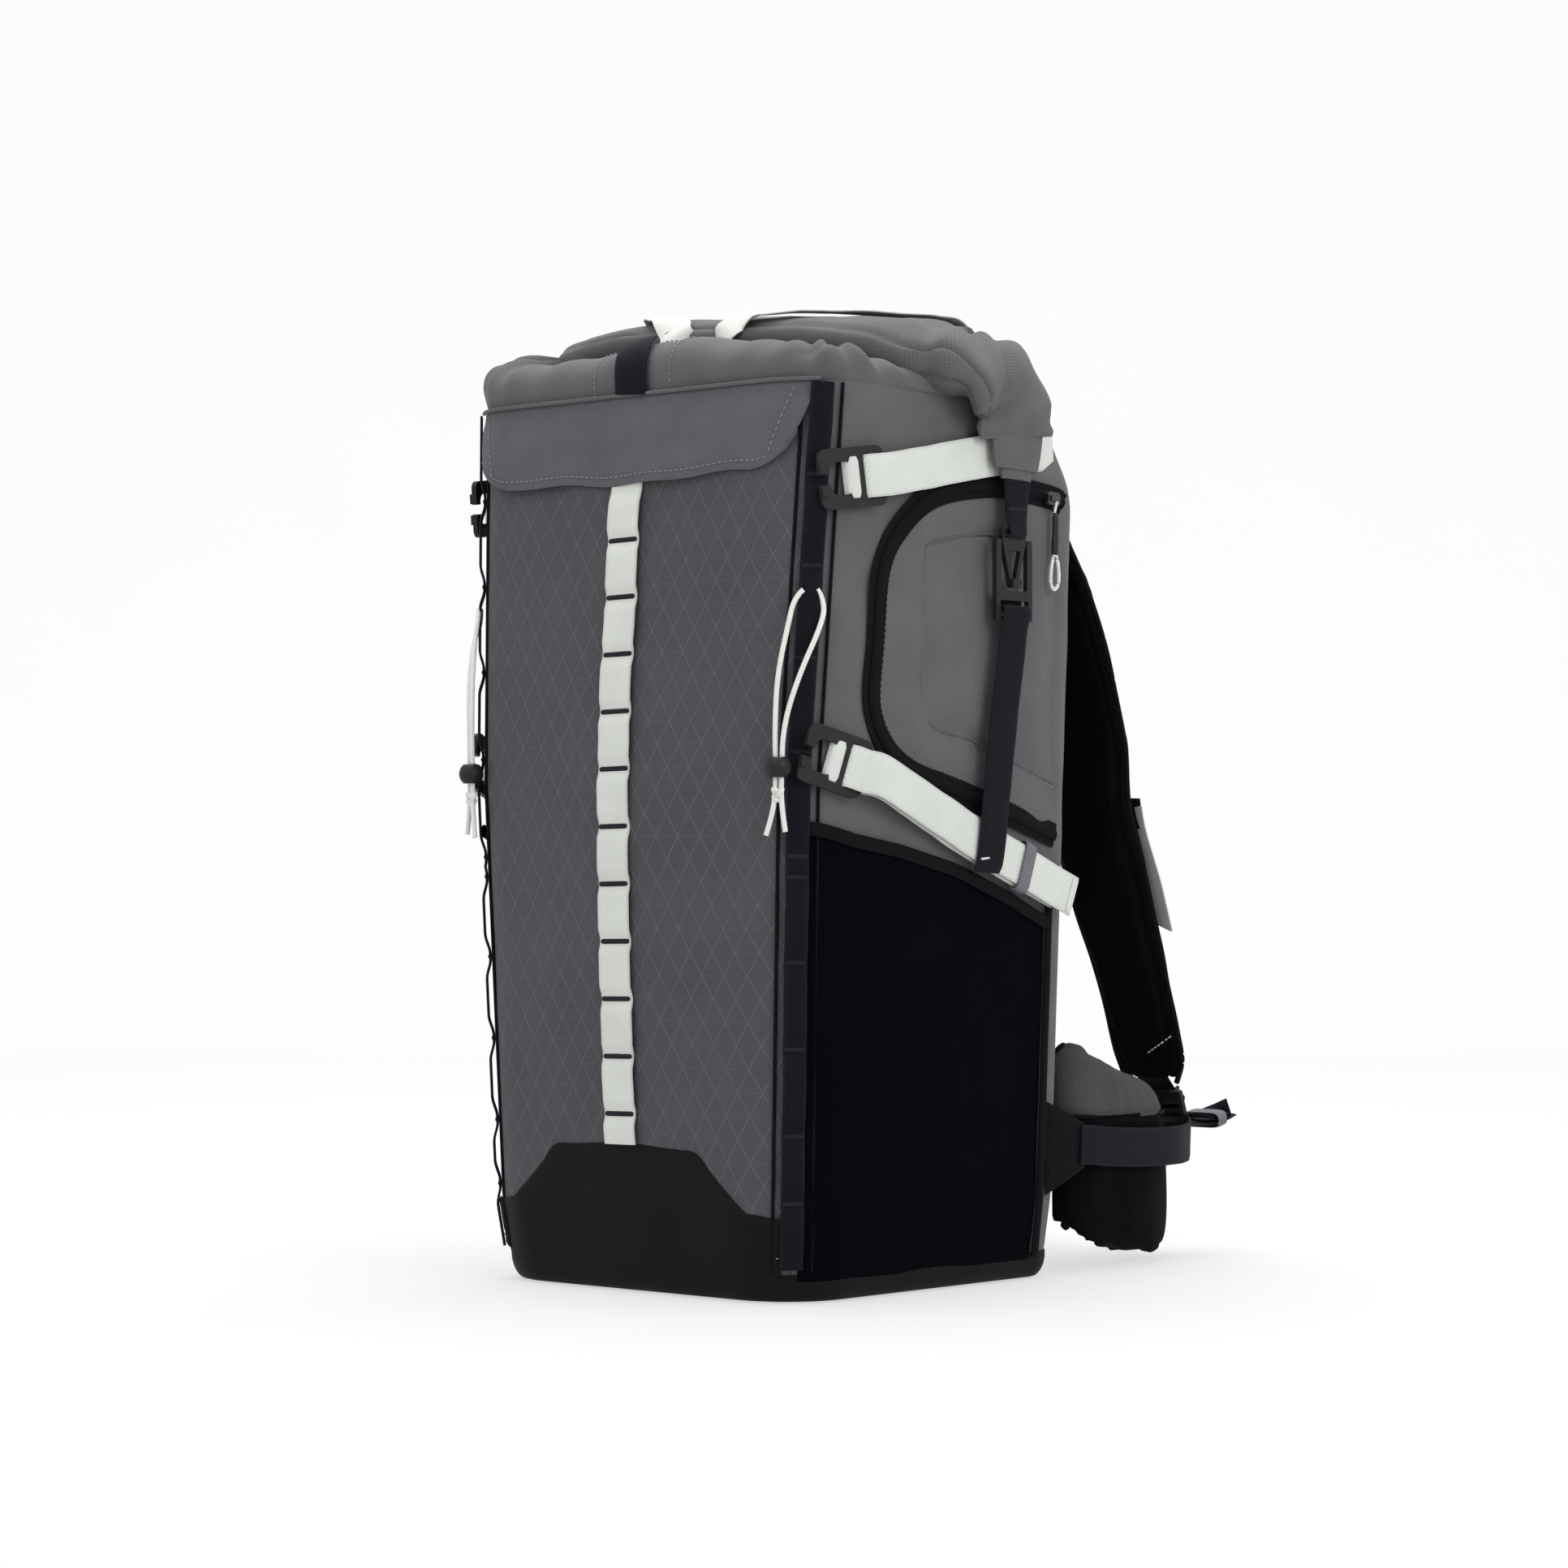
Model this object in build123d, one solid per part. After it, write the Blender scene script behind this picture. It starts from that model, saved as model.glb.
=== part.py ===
from build123d import *
import os
import math

# Roll-top hiking backpack, millimetres.
# +Z up, origin at the centre of the flat base, front (pocket side) towards -Y,
# wearer's back towards +Y, wearer's-left side towards +X.

# ------------------------------------------------------------------ driving dimensions
WEB = 25.0            # standard webbing width
BASE_H = 16.0         # padded floor thickness
LEVELS = [(0.0, 129.0, -117.0, 130.0),      # z, half width, front y, back y
          (16.0, 129.0, -117.0, 130.0),
          (50.0, 133.0, -121.0, 132.0),
          (300.0, 143.11, -127.0, 132.0),
          (532.0, 152.5, -116.0, 132.0),
          (640.0, 156.87, -116.0, 132.0)]
R_FRONT = 48.0        # front corner radius
R_BACK = 25.0         # back corner radius
WALL_T = 3.0          # padded wall
POCKET_GAP = 14.0     # depth of the front pocket
SIDE_GAP = 12.0       # depth of the stretch pockets
BODY_TOP = 532.0
SHELL_BOTTOM = 16.3
FLAP_BOTTOM = 484.0
CORD_D = 3.0
BALL_D = 15.0
STRAP_T = 13.0        # shoulder strap padding
STRAP_W = 70.0

os.makedirs("parts", exist_ok=True)
made = []


def V(p):
    return Vector(*p)


def save(node, shape):
    solids = shape.solids() if hasattr(shape, "solids") else shape
    comp = solids[0] if len(solids) == 1 else Compound(children=list(solids))
    export_step(comp, "parts/%s.step" % node)
    made.append((node, len(solids), sum(s.volume for s in solids)))


def mir(shape):
    return mirror(shape, about=Plane.YZ)


def dims(z):
    for a, b in zip(LEVELS, LEVELS[1:]):
        if z <= b[0] or b is LEVELS[-1]:
            k = (z - a[0]) / (b[0] - a[0])
            return tuple(a[i] + k * (b[i] - a[i]) for i in (1, 2, 3))


# ------------------------------------------------------------------ planar-faced solids
def poly_face(pts):
    return Face(Wire.make_polygon([V(p) for p in pts], close=True))


def planar(pts):
    if len(pts) == 3:
        return True
    o = V(pts[0])
    n = None
    for i in range(1, len(pts) - 1):
        c = (V(pts[i]) - o).cross(V(pts[i + 1]) - o)
        if c.length > 1e-6:
            n = c.normalized()
            break
    if n is None:
        return True
    return all(abs((V(p) - o).dot(n)) < 1e-5 for p in pts)


def patch(pts):
    if planar(pts):
        return [poly_face(pts)]
    if len(pts) == 4:
        return [poly_face([pts[0], pts[1], pts[2]]), poly_face([pts[0], pts[2], pts[3]])]
    # strip between the two halves of a ring
    out = []
    n = len(pts)
    i, j = 0, n - 1
    while j - i > 2:
        q = [pts[i], pts[i + 1], pts[j - 1], pts[j]]
        out += patch(q)
        i += 1
        j -= 1
    if j - i == 2:
        out.append(poly_face([pts[i], pts[i + 1], pts[j]]))
    return out


def loft_rings(rings):
    faces = patch(rings[0]) + patch(rings[-1])
    n = len(rings[0])
    for a, b in zip(rings, rings[1:]):
        for k in range(n):
            m = (k + 1) % n
            faces += patch([a[k], a[m], b[m], b[k]])
    s = Solid(Shell(faces))
    if s.volume < 0:
        s = Solid(Shell([-f for f in faces]))
    return s


def unit(v):
    v = V(v) if not isinstance(v, Vector) else v
    return v.normalized()


def strap(pts, width, t, n, chamfer=0.0):
    """Band whose inner face runs along pts, with outward normal(s) n."""
    rings = []
    m = len(pts)
    for i in range(m):
        c = V(pts[i])
        a = V(pts[max(i - 1, 0)])
        b = V(pts[min(i + 1, m - 1)])
        nn = unit(n[i] if isinstance(n, list) else n)
        tg = (b - a).normalized()
        wd = nn.cross(tg).normalized()
        w = (width[i] if isinstance(width, list) else width) / 2.0
        tt = t[i] if isinstance(t, list) else t
        nn = tg.cross(wd).normalized()
        if chamfer:
            k = min(chamfer, tt / 2.2)
            ring = [c - wd * (w - k), c + wd * (w - k), c + wd * w + nn * k,
                    c + wd * w + nn * (tt - k), c + wd * (w - k) + nn * tt,
                    c - wd * (w - k) + nn * tt, c - wd * w + nn * (tt - k), c - wd * w + nn * k]
        else:
            ring = [c - wd * w, c + wd * w, c + wd * w + nn * tt, c - wd * w + nn * tt]
        rings.append([tuple(p) for p in ring])
    return loft_rings(rings)


def front_pt(z, ang, off, side=1):
    """Point on the front corner; ang measured from +X, -90 faces the front."""
    hw, yf, yb = dims(z)
    a = math.radians(ang)
    r = R_FRONT + off
    return (side * (hw - R_FRONT + r * math.cos(a)), yf + R_FRONT + r * math.sin(a), z)


def back_pt(z, ang, off, side=1):
    hw, yf, yb = dims(z)
    a = math.radians(ang)
    r = R_BACK + off
    return (side * (hw - R_BACK + r * math.cos(a)), yb - R_BACK + r * math.sin(a), z)


def band(zs, cols, off0, off1):
    """Skin built of columns; cols are functions (z, off) -> point, zs may be a list per column."""
    rings = []
    for i, col in enumerate(cols):
        zz = zs[i] if isinstance(zs[0], (list, tuple)) else zs
        o0 = off0 if not isinstance(off0, list) else off0
        inner = [col(z, o0[k] if isinstance(o0, list) else o0) for k, z in enumerate(zz)]
        outer = [col(z, off1[k] if isinstance(off1, list) else off1) for k, z in enumerate(zz)]
        rings.append(inner + outer[::-1])
    return loft_rings(rings)


def fcol(ang, side=1):
    return lambda z, off: front_pt(z, ang, off, side)


def bcol(ang, side=1):
    return lambda z, off: back_pt(z, ang, off, side)


def ycol(y, side=1):
    return lambda z, off: (side * (dims(z)[0] + off), y, z)


# ------------------------------------------------------------------ pack body shell
ZL = [SHELL_BOTTOM, 50.0, 300.0, 500.0]
front_cols = [fcol(-45), fcol(-67.5), fcol(-90), fcol(-90, -1), fcol(-67.5, -1), fcol(-45, -1)]
save("front_pocket_panel", band(ZL, front_cols, -2.0, 0.0))

wall_cols = []
for sx in (1, -1):
    wall_cols.append(lambda z, off, sx=sx: (sx * (dims(z)[0] - R_FRONT + 29.3),
                                            dims(z)[1] + POCKET_GAP + 2.0 - off, z))
save("front_wall", band([SHELL_BOTTOM, 50.0, 300.0, BODY_TOP], wall_cols, -WALL_T, 0.0))

zs_side = [SHELL_BOTTOM, 50.0, 215.0, 285.0, 300.0, BODY_TOP]
o_in = [-SIDE_GAP - WALL_T] * 3 + [-WALL_T] * 3
o_out = [-SIDE_GAP] * 3 + [0.0] * 3
side_cols = [fcol(-44), fcol(-22), fcol(0), bcol(0), bcol(44)]
side_r = band(zs_side, side_cols, o_in, o_out)
save("side_panels", Compound(children=[side_r, mir(side_r)]))

back_cols = [bcol(45), bcol(90), bcol(90, -1), bcol(45, -1)]
save("back_panel", band([SHELL_BOTTOM, 50.0, 300.0, BODY_TOP], back_cols, -WALL_T, 0.0))


def full_ring(z, off, hw=None, yf=None, yb=None, rf=R_FRONT, rb=R_BACK):
    h, f, b = dims(z)
    h = hw or h
    f = yf or f
    b = yb or b
    right = []
    for a in (-90, -60, -30, 0):
        t = math.radians(a)
        right.append((h - rf + (rf + off) * math.cos(t), f + rf + (rf + off) * math.sin(t), z))
    for a in (0, 45, 90):
        t = math.radians(a)
        right.append((h - rb + (rb + off) * math.cos(t), b - rb + (rb + off) * math.sin(t), z))
    return right + [(-x, y, zz) for x, y, zz in right[::-1]]


save("base_tray", loft_rings([full_ring(0.0, -10.0), full_ring(3.0, -3.5), full_ring(7.0, -0.5),
                              full_ring(BASE_H, 0.0)]))

# coated base apron that wraps up the front, trapezoid outline
apron_cols = [fcol(-62), fcol(-67.5), fcol(-90), lambda z, off: (66.0, dims(z)[1] - off, z),
              lambda z, off: (-66.0, dims(z)[1] - off, z), fcol(-90, -1), fcol(-67.5, -1), fcol(-62, -1)]
apron_z = [[SHELL_BOTTOM, 34.0, 46.0], [SHELL_BOTTOM, 38.0, 52.0], [SHELL_BOTTOM, 50.0, 66.0],
           [SHELL_BOTTOM, 50.0, 88.0], [SHELL_BOTTOM, 50.0, 88.0], [SHELL_BOTTOM, 50.0, 66.0],
           [SHELL_BOTTOM, 38.0, 52.0], [SHELL_BOTTOM, 34.0, 46.0]]
save("base_apron", band(apron_z, apron_cols, 0.9, 2.3))

# stretch pockets over the lower sides, sloping mouth
pk_cols = [fcol(-36), fcol(-18), fcol(0), ycol(-41), ycol(9), ycol(98)]
pk_z = [[SHELL_BOTTOM, 50.0, 276.0], [SHELL_BOTTOM, 50.0, 271.0], [SHELL_BOTTOM, 50.0, 269.0],
        [SHELL_BOTTOM, 50.0, 264.0], [SHELL_BOTTOM, 50.0, 253.0], [SHELL_BOTTOM, 50.0, 221.0]]
pocket_r = band(pk_z, pk_cols, 0.3, 1.5)
# rear binding strip that closes each stretch pocket at the back seam
bind_cols = [ycol(98.6), ycol(105.0)]
bind_r = band([SHELL_BOTTOM, 50.0, 215.0], bind_cols, -SIDE_GAP + 0.3, 1.5)
save("stretch_pockets", Compound(children=[pocket_r, bind_r, mir(pocket_r), mir(bind_r)]))

# ------------------------------------------------------------------ inner structure
save("frame_sheet", Pos(0, 126.5, 268) * Box(212, 1.6, 460))
stays = [Pos(sx * 62, 123.6, 268) * Box(20, 3.0, 440) for sx in (1, -1)]
save("frame_stays", Compound(children=stays))
save("laptop_sleeve", Pos(0, 117.5, 215) * Box(216, 2.0, 360))

# ------------------------------------------------------------------ collar above the body
h562 = dims(562)[0]
col_out = loft_rings([full_ring(532.4, 0.0), full_ring(548.0, 0.0, yf=-108.0), full_ring(562.0, 0.0, yf=-82.0)])
col_in = loft_rings([full_ring(531.0, -2.0, yf=-117.0), full_ring(548.0, -2.0, yf=-108.0),
                     full_ring(562.5, -2.0, yf=-81.2)])
save("collar", col_out - col_in)

# ------------------------------------------------------------------ daisy chains
save("center_daisy_chain", strap([(0, dims(z)[1] - 0.3, z) for z in (90.0, 300.0, 481.0)], WEB,
                                 2.0, (0, -1, 0)))


def side_chain(z0, z1, off, t, half_deg=7.6):
    rings = []
    for z in (z0, 300.0, z1):
        rings.append([front_pt(z, -45 + k * half_deg, off) for k in (-1, 0, 1)] +
                     [front_pt(z, -45 + k * half_deg, off + t) for k in (1, 0, -1)])
    return loft_rings(rings)


sc = side_chain(50.5, 530.0, 0.3, 2.0)
save("side_daisy_chains", Compound(children=[sc, mir(sc)]))
tab_rings = [[front_pt(z, a, 0.3) for a in (-57, -45, -38)] + [front_pt(z, a, 2.8) for a in (-38, -45, -57)]
             for z in (19.0, 49.8)]
tab_r = loft_rings(tab_rings)


# ------------------------------------------------------------------ webbing hooks
HOOK_U = 14.0         # hinge (webbing bar) position along the plate


def hook_frame(z, tilt):
    hw, yf, yb = dims(z)
    n = Vector(math.cos(math.radians(22.5)), -math.sin(math.radians(22.5)), 0)
    t = Vector(math.sin(math.radians(22.5)), math.cos(math.radians(22.5)), 0)
    c = Vector(hw - R_FRONT, yf + R_FRONT, z) + n * (R_FRONT + 2.9)
    up = Vector(0, 0, 1)
    a = math.radians(tilt)
    x = t * math.cos(a) - up * math.sin(a)
    return Plane(origin=c, x_dir=x, z_dir=n)


def webbing_hook():
    body = Pos(0, 0, 1.5) * Box(42, 35, 3.0)
    body = fillet(body.edges().filter_by(Axis.Z), 5.0)
    slot = Pos(HOOK_U - 4.2, 0, 1.5) * Box(4.0, 26.5, 8.0)
    rear = Pos(18.4, 0, 1.5) * Box(1.0, 26.5, 8.0)
    eye = Pos(-7.0, 0, 1.5) * Box(15.0, 19.0, 8.0)
    eye = fillet(eye.edges().filter_by(Axis.Z), 5.0)
    mouth = Pos(-18.0, 0, 1.5) * Box(14.0, 6.0, 8.0)
    body = body - slot - eye - mouth - rear
    edges = body.edges().filter_by(GeomType.LINE).filter_by(Axis.Y)
    nub1 = Pos(-19.4, 6.5, 3.6) * Box(3.0, 6.0, 1.6)
    nub2 = Pos(-19.4, -6.5, 3.6) * Box(3.0, 6.0, 1.6)
    return (body + nub1 + nub2).solids()[0]


hook = webbing_hook()
UP_Z, LO_Z = 476.0, 313.0
for nm, z, tilt in (("upper", UP_Z, -7.0), ("lower", LO_Z, 17.0)):
    pl = hook_frame(z, tilt)
    h = pl.location * hook
    save("%s_strap_hook_right" % nm, h)
    save("%s_strap_hook_left" % nm, mir(h))
    ax = pl.x_dir * HOOK_U + pl.origin + pl.z_dir * 1.5
    rear_pt = pl.x_dir * 22.0 + pl.origin + pl.z_dir * 1.0
    print("hook", nm, "axis point", tuple(round(c, 2) for c in ax), "dir",
          tuple(round(c, 4) for c in pl.y_dir), "rear", tuple(round(c, 2) for c in rear_pt))


# ------------------------------------------------------------------ side access zip (left side of the wearer)
def side_pt(y, z, off):
    return (dims(z)[0] + off, y, z)


def side_strap(path, width, off, t):
    return strap([side_pt(y, z, o) for (y, z), o in zip(path, off)], width, t, (1, 0, 0))


door_yz = [(92, 468), (32, 473), (-17, 464), (-42, 446), (-55, 424), (-58, 343), (-36, 319), (13, 303),
           (67, 289), (92, 284)]


def yz_plate(yz, off0, off1):
    inner = [side_pt(y, z, off0) for y, z in yz]
    outer = [side_pt(y, z, off1) for y, z in yz]
    return loft_rings([inner, outer])


save("side_access_panel", yz_plate(door_yz, 0.3, 1.5))
zip_path = [(98, 475), (32, 480), (-17, 471), (-47, 451), (-63, 426), (-67, 341), (-41, 312), (13, 296),
            (67, 282), (97, 275)]
save("side_zipper_tape", side_strap(zip_path, 14.0, [1.9] * 10, 1.2))
slider = Pos(0, 0, 1.5) * Box(12.0, 8.0, 3.0)
slider = fillet(slider.edges().filter_by(Axis.Z), 2.5)
bridge = Pos(0, 0, 3.6) * Box(8.0, 3.0, 1.6)
hw_s = dims(475.5)[0]
sl_pl = Plane(origin=Vector(hw_s + 3.4, 90.0, 475.6), x_dir=Vector(0, 66, -5).normalized(), z_dir=Vector(1, 0, 0))
save("zipper_slider", sl_pl.location * (slider + bridge))
pull = Pos(hw_s + 5.0, 90.0, 458.5) * Box(2.4, 6.0, 24.0)
loop_o = Pos(hw_s + 5.0, 90.0, 434.0) * Box(2.0, 9.0, 24.4)
loop_i = Pos(hw_s + 5.0, 90.0, 434.0) * Box(4.0, 5.0, 20.0)
save("zipper_pull", (pull + (loop_o - loop_i)).solids()[0])

# ------------------------------------------------------------------ compression straps
up_pts = [(159.3, -66.5, 479.0), (157.0, -20.0, 488.0), (156.4, 28.0, 497.0), (156.8, 84.0, 507.0)]
up_r = strap(up_pts, WEB, 1.5, (1, 0, 0))
save("upper_compression_straps", Compound(children=[up_r, mir(up_r)]))
lo_pts = [(153.0, -69.0, 305.2), (149.6, -30.0, 290.0), (146.9, 15.0, 271.5), (146.4, 60.0, 255.0),
          (146.0, 112.0, 234.0)]
lo_r = strap(lo_pts, WEB, 2.4, (1, 0, 0))
save("lower_compression_straps", Compound(children=[lo_r, mir(lo_r)]))
keep_o = strap([(145.6, 63.5, 253.6), (145.4, 72.5, 250.0)], 31.0, 4.6, (1, 0, 0))
keep_i = strap([(146.1, 62.0, 254.2), (145.9, 74.0, 249.4)], 26.5, 3.3, (1, 0, 0))
keeper = keep_o - keep_i
save("strap_keepers", Compound(children=[keeper.solids()[0], mir(keeper.solids()[0])]))

# ------------------------------------------------------------------ roll side straps and buckles
RX = 159.4
rs_pts = [(RX, 44.0, 397.0), (RX - 1.5, 40.0, 350.0), (RX - 5.4, 35.5, 300.0), (RX - 8.6, 31.0, 252.0)]
rs_r = strap(rs_pts, WEB, 1.6, (1, 0, 0))
save("roll_straps", Compound(children=[rs_r, mir(rs_r)]))
# female frame: ladder-lock bars below, two upright guides open to the top
fem = Pos(1.6, 0, 0) * Box(3.2, 34, 18)
fem = fem - Pos(1.6, 0, -5.0) * Box(8, 26.5, 3.4) - Pos(1.6, 0, 1.4) * Box(8, 26.5, 3.4)
fem = fem + Pos(1.6, 14.6, 24.0) * Box(3.2, 4.8, 31.0) + Pos(1.6, -14.6, 24.0) * Box(3.2, 4.8, 31.0)
fem = fem + Pos(1.6, 0, 6.9) * Box(3.2, 34, 4.0)
fem = fillet(fem.edges().filter_by(Axis.X), 1.0)
fem_r = Pos(RX - 0.6, 44.5, 408.0) * fem
save("roll_buckles", Compound(children=[fem_r.solids()[0], mir(fem_r.solids()[0])]))
# male hook: crossbar with a webbing slot, V-shaped nose
mal = Pos(1.6, 0, 0) * Box(3.2, 22.0, 10.0) - Pos(1.6, 0, 0.8) * Box(8, 17.5, 2.6)
nose_o = loft_rings([[(0, -10.5, -4.5), (3.2, -10.5, -4.5), (3.2, -3.0, -30.0), (0, -3.0, -30.0)],
                     [(0, 10.5, -4.5), (3.2, 10.5, -4.5), (3.2, 3.0, -30.0), (0, 3.0, -30.0)]])
nose_i = loft_rings([[(-1, -6.0, -8.0), (5.0, -6.0, -8.0), (5.0, -1.2, -25.0), (-1, -1.2, -25.0)],
                     [(-1, 6.0, -8.0), (5.0, 6.0, -8.0), (5.0, 1.2, -25.0), (-1, 1.2, -25.0)]])
mal = (mal + nose_o) - nose_i
lip = Pos(4.4, 0, -27.5) * Box(2.6, 8.0, 5.0)
mal_r = Pos(RX - 0.6, 44.5, 449.0) * (mal + lip)
save("roll_hooks", Compound(children=[mal_r.solids()[0], mir(mal_r.solids()[0])]))
lp_r = strap([(RX, 52.0, 509.4), (RX, 49.0, 482.0), (RX, 46.0, 455.6)], [30.0, 26.0, 20.0], 1.6, (1, 0, 0))
save("roll_loops", Compound(children=[lp_r, mir(lp_r)]))

# ------------------------------------------------------------------ rolled closure
roll_yz = [(-60, 565.0), (-54, 580.0), (-24, 592.5), (22, 598.0), (58, 592.0), (77, 577.0), (70, 565.0)]
xr = [-161.4, -158.4, -140.0, -70.0, 70.0, 140.0, 158.4, 161.4]
sc_end = [0.72, 0.86, 0.97, 1.0, 1.0, 0.97, 0.86, 0.72]
rings = []
for x, k in zip(xr, sc_end):
    rings.append([(x, 8 + (y - 8) * (0.55 + 0.45 * k), 565.0 + (z - 565.0) * k) for y, z in roll_yz])
lobe = loft_rings([[(158.4, 20.0, 566.0), (161.4, 20.0, 566.0), (161.4, 76.0, 566.0), (158.4, 76.0, 566.0)],
                   [(158.4, 22.0, 532.0), (161.4, 22.0, 532.0), (161.4, 77.0, 532.0), (158.4, 77.0, 532.0)],
                   [(158.4, 34.0, 511.5), (161.4, 34.0, 511.5), (161.4, 75.0, 511.5), (158.4, 75.0, 511.5)]])
roll = loft_rings(rings)
roll = (roll + lobe + mir(lobe)).solids()[0]
save("roll_top", roll)


def roll_z(y):
    for a, b in zip(roll_yz[1:], roll_yz[2:]):
        if a[0] <= y <= b[0]:
            return a[1] + (b[1] - a[1]) * (y - a[0]) / (b[0] - a[0])
    return 565.0


vs = []
for sx in (1, -1):
    p = [(sx * 14, -53.0, 580.9), (sx * 44, -24.0, 593.0), (sx * 88, 22.0, 598.5)]
    vs.append(strap([(x, y, z + 1.0) for x, y, z in p], 22.0, 1.4, [(0, -0.4, 1), (0, -0.25, 1), (0, -0.12, 1)]))
save("top_v_strap", Compound(children=vs))

# ------------------------------------------------------------------ front flap and collar tab
fl_c = [fcol(-56), fcol(-72), fcol(-90), ycol(0), fcol(-90, -1), fcol(-72, -1), fcol(-56, -1)]
fl_c[3] = lambda z, off: (0.0, dims(z)[1] - off, z)
fl_z = [[492.0, 531.0], [476.0, 531.5], [474.0, 532.0], [483.0, 532.0], [482.5, 532.0], [482.0, 531.5], [494.0, 531.0]]
save("front_flap", band(fl_z, fl_c, 2.6, 4.2))
mags = [Pos(sx * 70, dims(496)[1] - 1.35, 496.0) * (Rot(90, 0, 0) * Cylinder(6.0, 1.4)) for sx in (1, -1)]
save("flap_magnets", Compound(children=mags))
tabp = [(2.0, -118.6, 534.0), (2.0, -111.6, 548.0), (2.0, -93.5, 557.0)]
save("collar_tab", strap([(2.0, -117.3, 533.2), (2.0, -109.4, 549.6)], WEB, 1.6, (0, -0.9, 0.45)))

# ------------------------------------------------------------------ back padding and haul loop
pads = []
for sx in (1, -1):
    pads.append(strap([(sx * 56, 132.4, 165.0), (sx * 58, 132.4, 320.0), (sx * 56, 132.4, 470.0)],
                      [66.0, 70.0, 60.0], [11.0, 12.0, 9.0], (0, 1, 0), chamfer=5.0))
save("back_pads", Compound(children=pads))
save("lumbar_pad", strap([(0, 132.4, 24.0), (0, 132.4, 80.0), (0, 132.4, 148.0)], [208.0, 208.0, 200.0],
                         [12.0, 15.0, 11.0], (0, 1, 0), chamfer=6.0))
hl_out = loft_rings([[(-34, 133.6, 508), (34, 133.6, 508), (30, 137.6, 546), (-30, 137.6, 546)],
                     [(-34, 135.8, 508), (34, 135.8, 508), (30, 139.8, 546), (-30, 139.8, 546)]])
hl_cut = Pos(0, 136.0, 522.0) * Box(44.0, 30.0, 30.0)
save("haul_loop", hl_out - hl_cut)

# ------------------------------------------------------------------ shoulder straps
ss_yz = [(136.4, 503.0), (148.0, 479.0), (178.0, 430.0), (199.0, 375.0), (210.0, 330.0), (212.0, 287.0),
         (230.0, 240.0), (256.0, 184.0), (281.0, 132.0), (290.0, 108.0)]
ss_x = [62.0, 68.0, 76.0, 80.0, 82.0, 83.0, 83.0, 82.0, 80.0, 80.0]
ss_w = [54.0, 62.0, 68.0, 70.0, 70.0, 68.0, 66.0, 62.0, 54.0, 40.0]
ss_t = [6.0, 10.0, 13.0, 13.0, 13.0, 13.0, 13.0, 13.0, 11.0, 8.0]


def yz_normals(yz):
    out = []
    m = len(yz)
    for i in range(m):
        a = yz[max(i - 1, 0)]
        b = yz[min(i + 1, m - 1)]
        ty, tz = b[0] - a[0], b[1] - a[1]
        out.append((0.0, -tz, ty))
    return out


ss_n = yz_normals(ss_yz)
ss_r = strap([(x, y, z) for x, (y, z) in zip(ss_x, ss_yz)], ss_w, ss_t, ss_n, chamfer=5.0)
save("shoulder_strap_right", ss_r)
save("shoulder_strap_left", mir(ss_r))
# ladder lock at the strap's lower end
ll = Pos(0, 0, 1.6) * Box(32, 22, 3.2) - Pos(0, 5.0, 1.6) * Box(26.5, 3.4, 8) - Pos(0, -0.4, 1.6) * Box(26.5, 3.4, 8) \
    - Pos(0, -6.6, 1.6) * Box(26.5, 3.4, 8)
ll = fillet(ll.edges().filter_by(Axis.Z), 1.2)
ll_pl = Plane(origin=Vector(86.0, 293.6, 95.2), x_dir=Vector(1, 0, 0), z_dir=Vector(0, 0.94, 0.342))
ll_r = ll_pl.location * ll
save("strap_ladder_lock_right", ll_r.solids()[0])
save("strap_ladder_lock_left", mir(ll_r.solids()[0]))
lw_pts = [(88.0, 293.0, 82.0), (98.0, 295.0, 76.0), (114.0, 281.0, 75.0), (129.5, 252.0, 75.0), (135.5, 215.0, 76.0),
          (139.0, 175.0, 78.0), (139.4, 142.0, 80.0)]
lw_n = [(0.3, 0.95, 0), (0.62, 0.78, 0), (0.85, 0.52, 0), (0.95, 0.3, 0), (0.99, 0.12, 0), (1, 0.05, 0), (1, 0, 0)]
lw_r = strap(lw_pts, WEB, 1.6, lw_n)
tail = strap([(92.0, 302.4, 90.0), (96.0, 308.0, 83.0), (98.0, 322.0, 83.0), (100.0, 338.0, 88.0)], WEB, 1.6,
             [(0.2, 0.9, 0.3), (0.1, 0.5, 0.85), (0, -0.1, 1), (0, -0.25, 0.97)])
save("lower_webbing_right", Compound(children=[lw_r, tail]))
save("lower_webbing_left", Compound(children=[mir(lw_r), mir(tail)]))
# triangular anchor patches sewn into the lower back seam
ap = loft_rings([[(136.6, 109.0, 52.0), (136.6, 109.0, 108.0), (138.4, 141.0, 92.0), (138.4, 141.0, 68.0)],
                 [(138.0, 109.0, 52.0), (138.0, 109.0, 108.0), (139.0, 141.0, 92.0), (139.0, 141.0, 68.0)]])
save("anchor_tabs", Compound(children=[tab_r, mir(tab_r), ap, mir(ap)]))

# sternum strap halves on the far face of the shoulder straps
stn_c = Vector(83.0, 228.6, 287.0)
stn = strap([(118.6, 229.6, 286.0), (70.0, 229.6, 287.0), (30.0, 229.6, 285.0)], 20.0, 1.6, (0, 1, 0.1))
stn2 = strap([(119.4, 228.8, 286.0), (120.8, 234.0, 262.0), (119.8, 247.0, 232.0), (119.0, 256.0, 212.0)], 20.0, 1.5,
             [(1, 0.0, 0), (1, 0.0, 0), (1, 0.0, 0), (1, 0.0, 0)])
bk = Pos(15.0, 230.2, 285.0) * Box(27.0, 7.0, 24.0)
bk = fillet(bk.edges().filter_by(Axis.Y), 3.0)
save("sternum_webbing_right", Compound(children=[stn, stn2]))
save("sternum_webbing_left", Compound(children=[mir(stn), mir(stn2)]))
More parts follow.
